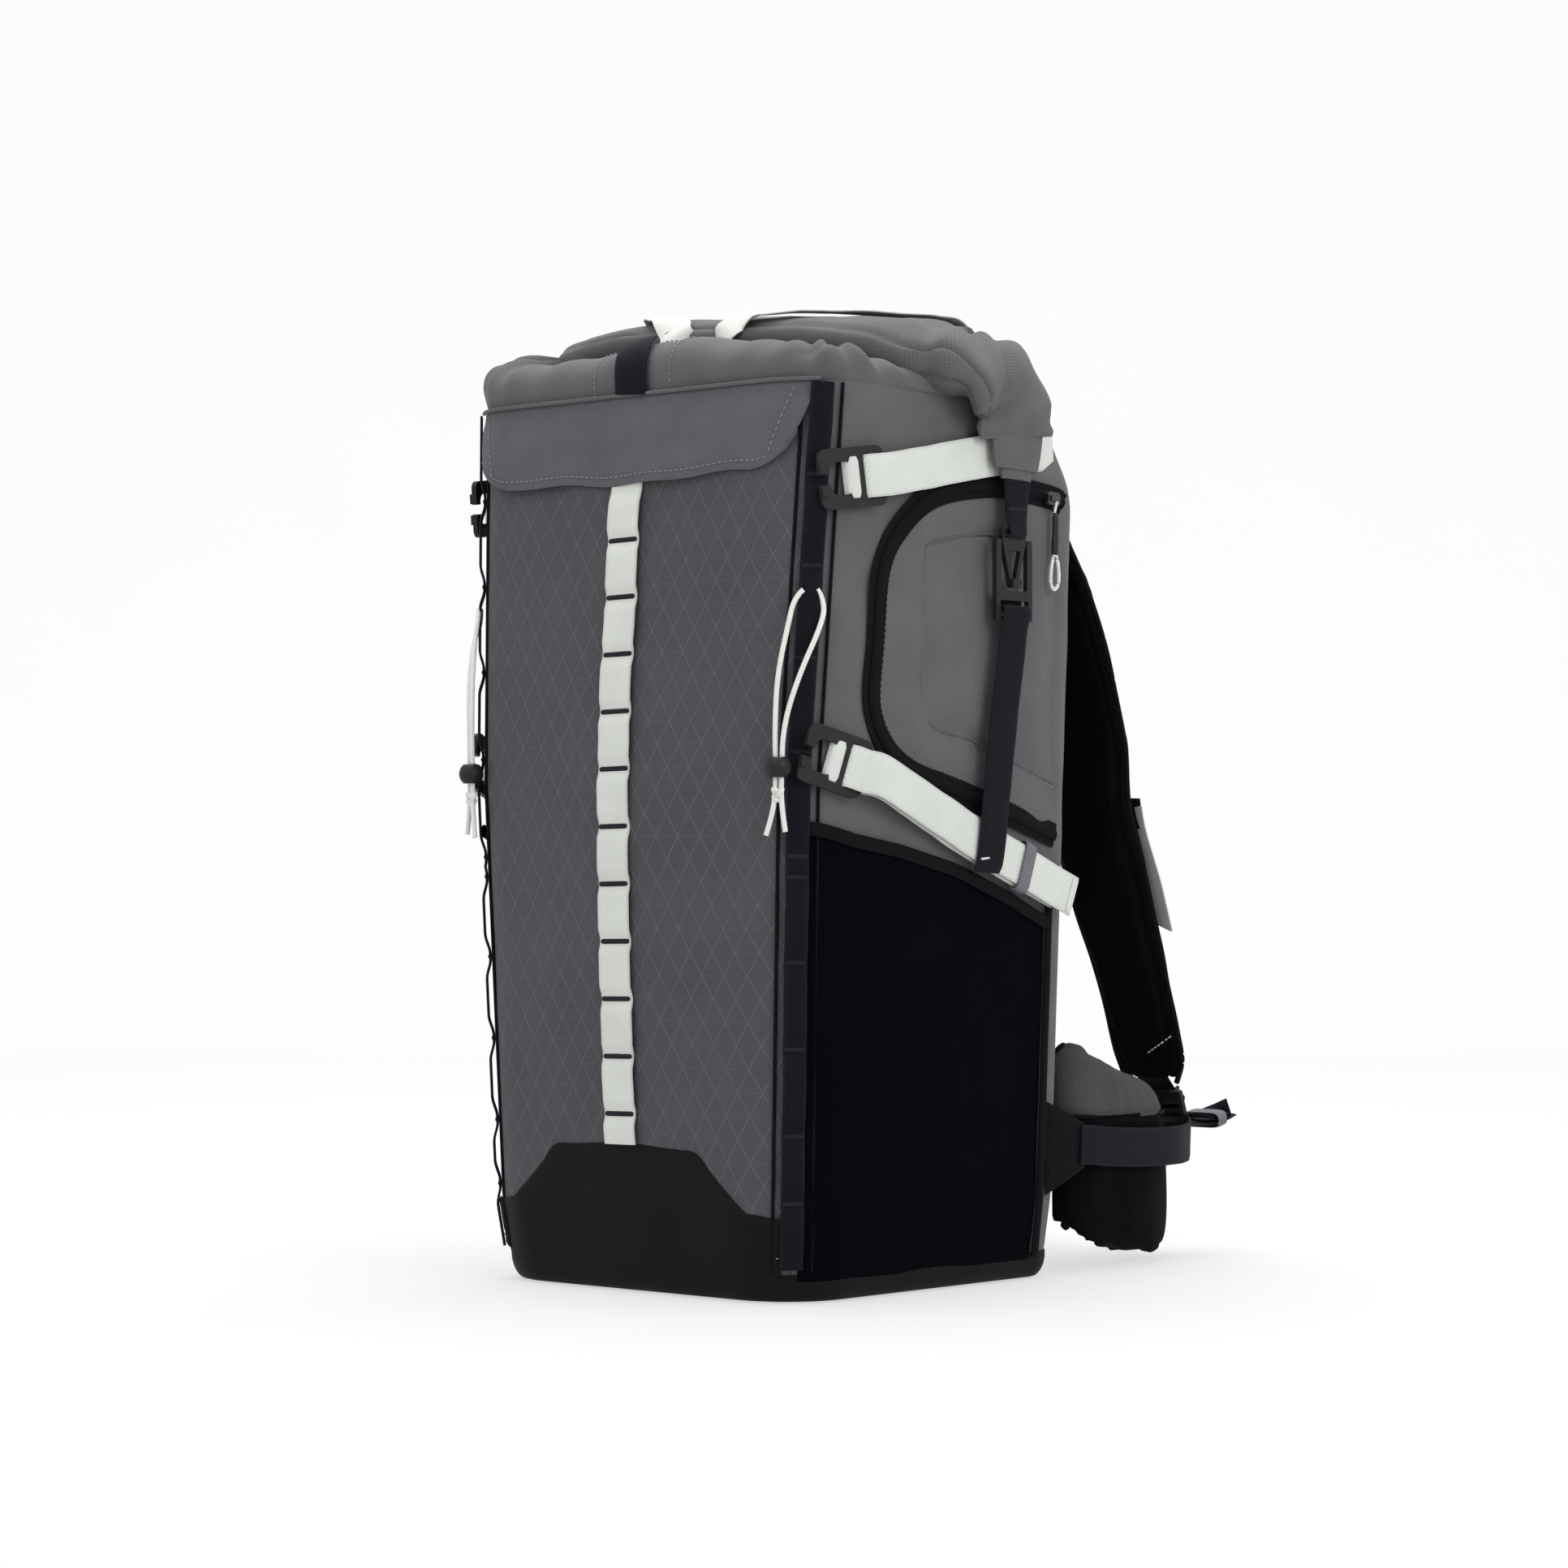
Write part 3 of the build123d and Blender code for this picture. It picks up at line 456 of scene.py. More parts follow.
# ------------------------------------------------------------------ mesh helpers
def make(name, verts, faces, mat, body, uvs=None, smooth_deg=40, cleanup=False):
    me = bpy.data.meshes.new(name)
    me.from_pydata([(v[0] * MM, v[1] * MM, v[2] * MM) for v in verts], [], faces)
    me.validate()
    if uvs is not None:
        lay = me.uv_layers.new(name="mm")
        idx = np.zeros(len(me.loops), np.int32)
        me.loops.foreach_get("vertex_index", idx)
        arr = np.array(uvs, float)[idx]
        lay.data.foreach_set("uv", arr.ravel().astype(np.float32))
    me.materials.append(mat)
    bm = bmesh.new()
    bm.from_mesh(me)
    bmesh.ops.recalc_face_normals(bm, faces=bm.faces)
    bm.to_mesh(me)
    bm.free()
    for p in me.polygons:
        p.use_smooth = True
    me.set_sharp_from_angle(angle=math.radians(smooth_deg))
    ob = bpy.data.objects.new(name, me)
    COL.objects.link(ob)
    if body:
        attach(ob, body)
    return ob


def grid_shell(name, P, N, UV, thick, mat, body, closed=False, smooth_deg=50, rnd=0.35):
    """P[i][j] outer points, N normals; makes a closed skin of that thickness with softened rims."""
    ni, nj = len(P), len(P[0])
    verts, uvs, faces = [], [], []
    def idx(k, i, j):
        return k * ni * nj + i * nj + j
    for k in (0, 1):
        for i in range(ni):
            for j in range(nj):
                rim = (j in (0, nj - 1)) or ((not closed) and i in (0, ni - 1))
                d = 0.0 if k == 0 else -thick
                if rim:
                    d += (-thick * rnd if k == 0 else thick * rnd)
                verts.append(P[i][j] + N[i][j] * d)
                uvs.append(UV[i][j])
    im = ni if closed else ni - 1
    for i in range(im):
        i2 = (i + 1) % ni
        for j in range(nj - 1):
            faces.append((idx(0, i, j), idx(0, i2, j), idx(0, i2, j + 1), idx(0, i, j + 1)))
            faces.append((idx(1, i, j), idx(1, i, j + 1), idx(1, i2, j + 1), idx(1, i2, j)))
        for j in (0, nj - 1):
            faces.append((idx(0, i, j), idx(1, i, j), idx(1, i2, j), idx(0, i2, j)))
    if not closed:
        for i in (0, ni - 1):
            for j in range(nj - 1):
                faces.append((idx(0, i, j), idx(0, i, j + 1), idx(1, i, j + 1), idx(1, i, j)))
    return make(name, verts, faces, mat, body, uvs, smooth_deg)


def patch(name, uz, off, na, nb, mat, body, thick=1.2, wr=0.0, wscale=0.02, seed=0.0, extra=None, rnd=0.35):
    """uz(a, b) -> (u, z); off number or function (a, b, u, z)."""
    P, N, UV = [], [], []
    for i in range(na + 1):
        rp, rn, ru = [], [], []
        for j in range(nb + 1):
            a, b = i / na, j / nb
            u, z = uz(a, b)
            o = off(a, b, u, z) if callable(off) else off
            if wr:
                s = slen(u, z)
                o += wr * (nz(s, z * 0.8, seed, wscale) + 0.5 * nz(s + 40, z, seed + 3, wscale * 2.3))
            if extra:
                o += extra(a, b, u, z)
            p, n = surf(u, z, o)
            rp.append(p)
            rn.append(n)
            ru.append((slen(u, z), z))
        P.append(rp)
        N.append(rn)
        UV.append(ru)
    # true normals from the grid, kept outward
    NN = []
    for i in range(na + 1):
        row = []
        for j in range(nb + 1):
            da = P[min(i + 1, na)][j] - P[max(i - 1, 0)][j]
            db = P[i][min(j + 1, nb)] - P[i][max(j - 1, 0)]
            c = da.cross(db)
            if c.length < 1e-9:
                c = N[i][j].copy()
            c.normalize()
            if c.dot(N[i][j]) < 0:
                c = -c
            row.append(c)
        NN.append(row)
    return grid_shell(name, P, NN, UV, thick, mat, body, rnd=rnd)


def catmull(pts, k):
    """Smooth points through pts, k per span."""
    pts = [Vector(p) for p in pts]
    if len(pts) == 2 or k <= 1:
        out = []
        for a, b in zip(pts, pts[1:]):
            out += [a.lerp(b, i / max(1, k)) for i in range(max(1, k))]
        return out + [pts[-1]]
    out = []
    for i in range(len(pts) - 1):
        p0 = pts[i - 1] if i > 0 else pts[i] * 2 - pts[i + 1]
        p1, p2 = pts[i], pts[i + 1]
        p3 = pts[i + 2] if i + 2 < len(pts) else pts[i + 1] * 2 - pts[i]
        for j in range(k):
            t = j / k
            out.append(0.5 * ((2 * p1) + (p2 - p0) * t + (2 * p0 - 5 * p1 + 4 * p2 - p3) * t * t
                              + (3 * p1 - p0 - 3 * p2 + p3) * t ** 3))
    out.append(pts[-1])
    return out


def ribbon(name, pts, nrm, width, thick, mat, body, k=6, wave=0.0, across=6, v0=0.0, join=None, seed=1.0,
           crown=0.0, cyclic=False):
    """Webbing along pts; the inner face is on pts. nrm is one normal or one for each point."""
    C = catmull(pts, k)
    if isinstance(nrm, list):
        NS = catmull([Vector(n) for n in nrm], k)
    else:
        NS = [Vector(nrm)] * len(C)
    if isinstance(width, list):
        WS = [w.x for w in catmull([Vector((w, 0, 0)) for w in width], k)]
    else:
        WS = [width] * len(C)
    n = len(C)
    verts, uvs, faces = [], [], []
    ringn = 2 * (across + 1)
    dist = v0
    for i in range(n):
        if cyclic:
            tg = C[(i + 1) % n] - C[i - 1]
        else:
            tg = C[min(i + 1, n - 1)] - C[max(i - 1, 0)]
        if i:
            dist += (C[i] - C[i - 1]).length
        tg.normalize()
        nn = NS[i].normalized()
        wd = nn.cross(tg).normalized()
        nn = tg.cross(wd).normalized()
        w = WS[i] / 2
        ww = wave * nz(dist, seed * 7.3, 0, 0.05)
        ring, ur = [], []
        for j in range(across + 1):
            t = -1 + 2 * j / across
            rim = abs(t) > 0.999
            h = thick * (0.72 if rim else 1.0) + crown * (1 - t * t)
            ring.append(C[i] + wd * (t * w + ww) + nn * h)
            ur.append((t * w, dist))
        for j in range(across, -1, -1):
            t = -1 + 2 * j / across
            rim = abs(t) > 0.999
            ring.append(C[i] + wd * (t * w + ww) + nn * (thick * 0.28 if rim else 0.0))
            ur.append((t * w, dist))
        verts += ring
        uvs += ur
    for i in range(n if cyclic else n - 1):
        a, b = i * ringn, ((i + 1) % n) * ringn
        for j in range(ringn):
            m = (j + 1) % ringn
            faces.append((a + j, a + m, b + m, b + j))
    if not cyclic:
        faces.append(tuple(range(ringn)))
        faces.append(tuple((n - 1) * ringn + j for j in range(ringn)))
    if join is not None:
        base = len(join[0])
        join[0].extend(verts)
        join[1].extend([tuple(base + q for q in f) for f in faces])
        join[2].extend(uvs)
        return None
    return make(name, verts, faces, mat, body, uvs, 50)


def bar(join, c, along, nrm, length, width, height, seg=5):
    """Rounded raised bar (a bartack) centred at c."""
    along = Vector(along).normalized()
    nrm = Vector(nrm).normalized()
    wd = nrm.cross(along).normalized()
    base = len(join[0])
    m = 8
    rows = [(-1.0, 0.35), (-0.96, 0.8), (-0.85, 1.0), (0.85, 1.0), (0.96, 0.8), (1.0, 0.35)]
    for t, s in rows:
        for k in range(m):
            a = 2 * math.pi * k / m
            p = Vector(c) + along * (t * length / 2) + wd * (math.cos(a) * width / 2 * s) + nrm * (math.sin(a) * height * s)
            join[0].append(p)
            join[2].append((math.cos(a) * width / 2, t * length / 2))
    for r in range(len(rows) - 1):
        for k in range(m):
            q = (k + 1) % m
            join[1].append((base + r * m + k, base + r * m + q, base + (r + 1) * m + q, base + (r + 1) * m + k))
    join[1].append(tuple(base + k for k in range(m)))
    join[1].append(tuple(base + (len(rows) - 1) * m + k for k in range(m)))


def new_join():
    return ([], [], [])


def finish_join(name, join, mat, body, deg=40):
    if not join[0]:
        return None
    return make(name, join[0], join[1], mat, body, join[2], deg)


def stitch_line(join, pts, nrms, pitch=3.4, length=2.3, dia=0.42):
    """Dashes laid along a line of points (dense), each a small capsule."""
    P = [Vector(p) for p in pts]
    acc, nxt = 0.0, pitch / 2
    for i in range(1, len(P)):
        d = (P[i] - P[i - 1]).length
        while acc + d >= nxt and d > 0:
            t = (nxt - acc) / d
            c = P[i - 1].lerp(P[i], t)
            n = Vector(nrms[i]).normalized()
            al = (P[i] - P[i - 1]).normalized()
            wd = n.cross(al).normalized()
            base = len(join[0])
            for tt, s in ((-1, 0.3), (-0.6, 1.0), (0.6, 1.0), (1, 0.3)):
                for k in range(5):
                    a = 2 * math.pi * k / 5
                    join[0].append(c + al * (tt * length / 2) + wd * (math.cos(a) * dia * s) + n * (math.sin(a) * dia * s + dia * 0.3))
                    join[2].append((0.0, 0.0))
            for r in range(3):
                for k in range(5):
                    q = (k + 1) % 5
                    join[1].append((base + r * 5 + k, base + r * 5 + q, base + (r + 1) * 5 + q, base + (r + 1) * 5 + k))
            join[1].append(tuple(base + k for k in range(5)))
            join[1].append(tuple(base + 15 + k for k in range(5)))
            nxt += pitch
        acc += d


def tube(join, pts, rad, m=8, k=4, flat=1.0, nrm=None):
    C = catmull(pts, k)
    base = len(join[0])
    n = len(C)
    ref = Vector(nrm) if nrm else Vector((0, 0, 1))
    dist = 0.0
    for i in range(n):
        tg = (C[min(i + 1, n - 1)] - C[max(i - 1, 0)]).normalized()
        r = ref if abs(ref.dot(tg)) < 0.95 else Vector((1, 0, 0))
        a1 = tg.cross(r).normalized()
        a2 = a1.cross(tg).normalized()
        rr = rad[i * (len(rad) - 1) // max(1, n - 1)] if isinstance(rad, list) else rad
        if i:
            dist += (C[i] - C[i - 1]).length
        for q in range(m):
            a = 2 * math.pi * q / m
            join[0].append(C[i] + a1 * math.cos(a) * rr + a2 * math.sin(a) * rr * flat)
            join[2].append((rr * a, dist))
    for i in range(n - 1):
        for q in range(m):
            w = (q + 1) % m
            join[1].append((base + i * m + q, base + i * m + w, base + (i + 1) * m + w, base + (i + 1) * m + q))
    join[1].append(tuple(base + q for q in range(m)))
    join[1].append(tuple(base + (n - 1) * m + q for q in range(m)))


def mirx(p):
    return Vector((-p[0], p[1], p[2]))

BODY = "pack_body"

# ------------------------------------------------------------------ shock cords (declared first)
CORD_FRONT = [(134.4, -114.4, 411.0), (130.6, -118.0, 406.0), (129.8, -121.8, 392.0), (126.2, -127.6, 362.0), (125.2, -128.6, 330.0),
              (125.4, -127.6, 303.0), (124.4, -128.4, 284.0), (120.2, -130.6, 270.0)]
CORD_REAR = [(139.4, -107.6, 411.5), (142.2, -104.4, 404.0), (144.2, -109.4, 391.0), (136.8, -120.6, 362.0), (129.8, -126.4, 333.0),
             (128.8, -126.8, 306.0), (128.6, -127.0, 288.0), (131.4, -126.4, 272.0)]


def cord_curve(name, pts, d, mat):
    cu = bpy.data.curves.new(name, "CURVE")
    cu.dimensions = "3D"
    sp = cu.splines.new("NURBS")
    sp.points.add(len(pts) - 1)
    for p, q in zip(sp.points, pts):
        p.co = (q[0] * MM, q[1] * MM, q[2] * MM, 1.0)
    sp.order_u = 3
    sp.use_endpoint_u = True
    sp.resolution_u = 10
    cu.bevel_depth = d / 2 * MM
    cu.bevel_resolution = 4
    cu.use_fill_caps = True
    cu.materials.append(mat)
    ob = bpy.data.objects.new(name, cu)
    COL.objects.link(ob)
    return ob


def knot_mesh(name, c, mat):
    """Overhand knot in two strands: a small trefoil tube with its crossing wraps."""
    j = new_join()
    for ph, rr in ((0.0, 1.0), (1.05, 0.86)):
        pts = []
        for i in range(25):
            t = 2 * math.pi * i / 24 + ph
            x = (math.sin(t) + 2 * math.sin(2 * t)) * 1.25 * rr
            y = (math.cos(t) - 2 * math.cos(2 * t)) * 1.25 * rr
            z = -math.sin(3 * t) * 1.7
            pts.append((c[0] + x, c[1] + z * 0.8, c[2] + y))
        tube(j, pts, 1.45, m=8, k=2)
    return finish_join(name, j, mat, BODY, 60)


KN = Vector((126.6, -127.6, 294.0))
for sd, sx in (("right", 1), ("left", -1)):
    knot_mesh("knot_" + sd, Vector((KN.x * sx, KN.y, KN.z)), M_CORD)
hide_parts("cord_knots")
for sd, sx in (("right", 1), ("left", -1)):
    for part, route in (("front", CORD_FRONT), ("rear", CORD_REAR)):
        nm = "shock_cord_%s_%s" % (sd, part)
        pts = [(p[0] * sx, p[1], p[2]) for p in route]
        ob = cord_curve("strand_%s_%s" % (sd, part), pts, 3.0, M_CORD)
        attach(ob, BODY)
        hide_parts(nm)

# ------------------------------------------------------------------ front pocket panel and body skins
def wrinkle_front(a, b, u, z):
    s = slen(u, z)
    w = 2.0 * nz(s, z * 0.5, 1.7, 0.011) + 0.9 * nz(s * 1.3 + 9, z, 4.2, 0.027)
    # soft drag lines that fall away from the flap and towards the lower corners
    w += 0.5 * smooth(z, 380, 480) * math.sin(s * 0.085 + 1.3 * nz(s, z, 2.0, 0.02) + z * 0.02)
    w -= 1.2 * math.exp(-((abs(s) - 15.5) / 4.0) ** 2) * (0.5 + 0.5 * nz(3, z, 7, 0.03))
    return w * (0.35 + 0.65 * (1 - smooth(abs(u), 1.15, 1.45))) * (0.12 + 0.88 * smooth(z, 105, 165))


front = patch("front_pocket_skin", lambda a, b: (-1.5 + 3.0 * a, 14.0 + (519.0 - 14.0) * b), 0.2, 96, 110, M_RIP, BODY,
              thick=1.6, extra=wrinkle_front)
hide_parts("front_pocket_panel", "front_wall")


def wrinkle_side(seed):
    def f(a, b, u, z):
        s = slen(u, z)
        w = 2.6 * nz(s, z * 0.7, seed, 0.012) + 1.1 * nz(s * 1.2, z, seed + 5, 0.03)
        # folds pulled in by the two compression straps
        w += 1.3 * math.exp(-((z - 430.0) / 60.0) ** 2) * math.sin(z * 0.075 + s * 0.03 + 2.0 * nz(s, z, seed, 0.012))
        w *= (0.2 + 0.8 * smooth(abs(u), 1.55, 1.9) * (1 - smooth(abs(u), 3.0, 3.4))) * (0.15 + 0.85 * smooth(z, 262, 300))
        if u > 0:
            y = surf(u, z)[0].y
            ins = smooth(y, -70, -55) * smooth(z, 268, 300) * (1 - smooth(z, 478, 490))
            w = w * (1 - ins) + min(w, -0.8) * ins
        return w
    return f


def quilt_top(a, b, u, z):
    return 0.0


for sd, sx in (("right", 1), ("left", -1)):
    ob = patch("side_skin_" + sd, lambda a, b, sx=sx: (sx * (1.5 + 2.02 * a), 14.0 + (533.0 - 14.0) * b), -0.2, 64, 96,
               M_GREY, BODY, thick=1.8, extra=wrinkle_side(3.0 + sx))
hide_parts("side_panels")
back_skin = patch("back_skin", lambda a, b: (3.5 + 3.0 * a if a <= 0.5 else -(5.0 - 3.0 * (a - 0.5)), 14.0 + (533.0 - 14.0) * b)
                  if False else ((3.5 + 3.0 * a) if 3.5 + 3.0 * a <= 5.0 else -(10.0 - (3.5 + 3.0 * a)), 14.0 + (533.0 - 14.0) * b),
                  -0.1, 60, 70, M_GREY, BODY, thick=2.0, wr=0.8, seed=9.0)
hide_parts("back_panel")

# base: moulded coated floor that turns up into the walls
def ring_pts(z, off, n=120):
    out = []
    for i in range(n):
        u = -5.0 + 10.0 * i / n
        out.append((u, z, off))
    return out


def base_shell():
    prof = [(16.5, 0.4), (12.0, 0.8), (8.0, 0.9), (4.5, 0.8), (2.2, 0.6), (0.9, 0.3), (0.35, -1.2), (0.1, -6.0), (0.05, -16.0), (0.05, -60.0)]
    n = 160
    verts, uvs, faces = [], [], []
    for z, off in prof:
        for i in range(n):
            u = -5.0 + 10.0 * i / n
            p, _ = surf(u, max(z, 0.0), off, bul=False)
            verts.append(p)
            uvs.append((slen(u, z), z + (-off if off < 0 else 0)))
    m = len(prof)
    for r in range(m - 1):
        for i in range(n):
            q = (i + 1) % n
            faces.append((r * n + i, r * n + q, (r + 1) * n + q, (r + 1) * n + i))
    faces.append(tuple((m - 1) * n + i for i in range(n)))
    top = len(verts)
    for i in range(n):
        u = -5.0 + 10.0 * i / n
        p, _ = surf(u, 16.5, -3.0, bul=False)
        verts.append(p)
        uvs.append((slen(u, 16), 20))
    for i in range(n):
        q = (i + 1) % n
        faces.append((i, q, top + q, top + i))
    faces.append(tuple(top + i for i in range(n)))
    return make("base_shell", verts, faces, M_BASE, BODY, uvs, 50)


base = base_shell()
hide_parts("base_tray")


def apron_top(x):
    """Upper edge of the coated base panel on the front, by distance from the centre line."""
    a = abs(x)
    if a < 52:
        return 87.5 + 1.2 * math.cos(a / 52 * math.pi)
    if a < 66:
        t = (a - 52) / 14
        return 86.3 - 9.0 * t * t
    if a < 96:
        t = (a - 66) / 30
        return 77.3 - 25.5 * (t ** 0.92)
    return 51.8 - 3.8 * smooth(a, 96, 122)


def apron_uz(a, b):
    u = -1.42 + 2.84 * a
    zt = apron_top(slen(u, 60))
    return u, 10.0 + (zt - 10.0) * b


apron = patch("base_apron_skin", apron_uz, 1.3, 110, 22, M_BASE, BODY, thick=1.6, wr=0.35, wscale=0.03, seed=2.0)
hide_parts("base_apron")

# ------------------------------------------------------------------ stretch pockets
def pocket_top(u, z_dummy=0):
    y = surf(u, 260)[0].y
    tab = [(-105, 277.0), (-82, 270.5), (-41, 264.0), (9, 253.0), (60, 236.0), (98, 221.0), (120, 213)]
    for (y0, z0), (y1, z1) in zip(tab, tab[1:]):
        if y <= y1:
            t = max(0.0, (y - y0) / (y1 - y0))
            return z0 + (z1 - z0) * t
    return tab[-1][1]


def pocket_skin(sd, sx):
    def uz(a, b):
        u = 1.545 + (u_side(99.0, 150) - 1.545) * a
        zt = pocket_top(u)
        return sx * u, 12.5 + (zt - 12.5) * b
    def ex(a, b, u, z):
        s = slen(u, z)
        w = 2.2 * math.sin(min(1, max(0, (b))) * math.pi) * math.sin(a * math.pi)
        w += 0.8 * nz(s, z, 8 + sx, 0.018)
        w += 1.2 * smooth(b, 0.965, 0.985)
        return w
    ob = patch("stretch_pocket_skin_" + sd, uz, 1.2, 56, 70, M_STRETCH, BODY, thick=1.5, extra=ex)
    # elastic binding along the mouth
    pts, nn = [], []
    for i in range(29):
        u = 1.545 + (u_side(99.0, 220) - 1.545) * i / 28
        p, n = surf(sx * u, pocket_top(u) - 3.0, 2.2)
        pts.append(p)
        nn.append(n)
    rb = ribbon("pocket_mouth_binding_" + sd, pts, nn, 8.0, 1.5, M_PIPE, BODY, k=2, crown=0.5)
    # rear binding: dark edge
    pts, nn = [], []
    for i in range(21):
        z = 14 + (238 - 14) * i / 20
        p, n = surf(sx * u_side(101.5, z), z, 1.5)
        pts.append(p)
        nn.append(n)
    r2 = ribbon("pocket_rear_binding_" + sd, pts, nn, 6.0, 1.8, M_PIPE, BODY, k=2, crown=0.6)
    return ob


pk_r = pocket_skin("right", 1)
pk_l = pocket_skin("left", -1)
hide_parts("stretch_pockets")

# ------------------------------------------------------------------ daisy chains
def chain_center():
    zs0, zs1 = 88.0, 483.0
    tacks = [446.0 - 34.0 * i for i in range(11)]
    pts, nn = [], []
    n = 200
    for i in range(n + 1):
        z = zs0 + (zs1 - zs0) * i / n
        d = min(abs(z - t) for t in tacks)
        lift = 1.5 * smooth(d, 1.0, 8.0) * (1 - smooth(z, 466.0, 478.0))
        x = 0.9 * nz(0, z, 5, 0.018)
        p, nr = surf(0.0, z, 1.1 + lift - 0.5 * smooth(z, 466.0, 478.0))
        pts.append(Vector((x, p.y, z)))
        nn.append(nr)
    ob = ribbon("center_chain_webbing", pts, nn, 25.0, 1.7, M_WHITE, BODY, k=1, wave=0.8, across=8, v0=0.0, seed=2.0)
    j = new_join()
    for t in tacks:
        p, nr = surf(0.0, t, 2.9)
        bar(j, (0.9 * nz(0, t, 5, 0.018), p.y, t), (1, 0.0, 0.02), nr, 23.0, 3.0, 0.75)
    bt = finish_join("center_chain_bartacks", j, M_THREADB, BODY)
    return ob


cc = chain_center()
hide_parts("center_daisy_chain")


def chain_side(sd, sx):
    tacks = [478.0, 425.0, 372.0, 318.0, 258.0, 246.0, 197.0, 147.0, 97.0, 58.0]
    pts, nn = [], []
    n = 220
    for i in range(n + 1):
        z = 20.0 + (531.0 - 20.0) * i / n
        d = min(abs(z - t) for t in tacks)
        lift = 2.6 * smooth(d, 2.0, 14.0)
        p, nr = surf(sx * 1.5, z, 1.0 + lift)
        pts.append(p)
        nn.append(nr)
    ob = ribbon("side_chain_webbing_" + sd, pts, nn, 13.5, 1.6, M_BLACKN, BODY, k=1, wave=0.5, across=6, seed=3 + sx)
    j = new_join()
    for t in tacks:
        p, nr = surf(sx * 1.5, t, 2.6)
        bar(j, p, Vector((0, 0, 1)).cross(nr), nr, 12.0, 2.4, 0.6)
    finish_join("side_chain_bartacks_" + sd, j, M_THREADB, BODY)
    # seam piping in front of and behind the chain
    for k, (uu, r, mt) in enumerate(((1.5 - 0.145, 1.1, M_PIPE), (1.5 + 0.155, 1.0, M_PIPE))):
        pts = [surf(sx * uu, z, 0.9)[0] for z in np.linspace(18, 531, 60)]
        jj = new_join()
        tube(jj, pts, r, m=6, k=1)
        finish_join("corner_piping_%d_%s" % (k, sd), jj, mt, BODY, 60)
    return ob


ch_r = chain_side("right", 1)
ch_l = chain_side("left", -1)
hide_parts("side_daisy_chains")

# ------------------------------------------------------------------ flap
def u_of_s(s, z):
    hw = dims(z)[0]
    a = abs(s)
    l0 = hw - RF
    u = a / l0 if a <= l0 else 1 + (a - l0) / (RF * math.pi / 2)
    return u if s >= 0 else -u


def flap_uz(a, b):
    t = abs(2 * a - 1)
    zb = 480.5 + 1.4 * math.sin(a * 9.0) + 0.8 * math.sin(a * 23.0 + 1)
    if t > 0.80:
        q = min(1.0, (t - 0.80) / 0.20)
        zb += 20.0 * (1 - math.sqrt(max(0.0, 1 - q * q)))
    z = 533.0 - b * (533.0 - zb)
    w = 141.0 - (533.0 - z) * 0.42
    if a < 0.5:
        w = 139.0 - (533.0 - z) * 0.36
    return u_of_s((2 * a - 1) * w, z), z


def flap_off(a, b, u, z):
    o = 2.0 + 2.6 * smooth(b, 0.0, 0.5)
    o += 1.3 * b * math.sin(a * 11.0 + 0.6) * smooth(b, 0.3, 1.0)
    s = slen(u, z)
    o += 0.7 * nz(s, z, 11, 0.02)
    o -= 0.9 * math.exp(-((b - 0.91) / 0.02) ** 2)
    o += 1.2 * smooth(abs(2 * a - 1), 0.9, 1.0) * b
    return o


flap = patch("flap_skin", flap_uz, flap_off, 110, 26, M_FLAP, "front_flap", thick=2.2)
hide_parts("front_flap", "flap_magnets")
js = new_join()
for path in ([(i / 160, 0.90) for i in range(7, 154)],
             [(0.045, 0.08 + 0.82 * i / 30) for i in range(31)],
             [(0.955, 0.08 + 0.82 * i / 30) for i in range(31)]):
    pp, nn = [], []
    for a, b in path:
        u, z = flap_uz(a, b)
        p, n = surf(u, z, flap_off(a, b, u, z) + 0.45)
        pp.append(p)
        nn.append(n)
    stitch_line(js, pp, nn, pitch=4.2, length=2.5, dia=0.38)
finish_join("flap_topstitch", js, M_THREADG, "front_flap")
# folded hem of the flap and its sewn top seam
pp, nn = [], []
for i in range(90):
    a = i / 89
    u, z = flap_uz(a, 0.0)
    p, n = surf(u, 533.0, 2.6)
    pp.append(p)
    nn.append(n)
jt = new_join()
tube(jt, [p + n * 0.2 for p, n in zip(pp, nn)], 1.3, m=6, k=1)
finish_join("flap_top_piping", jt, M_GREY, "front_flap", 60)

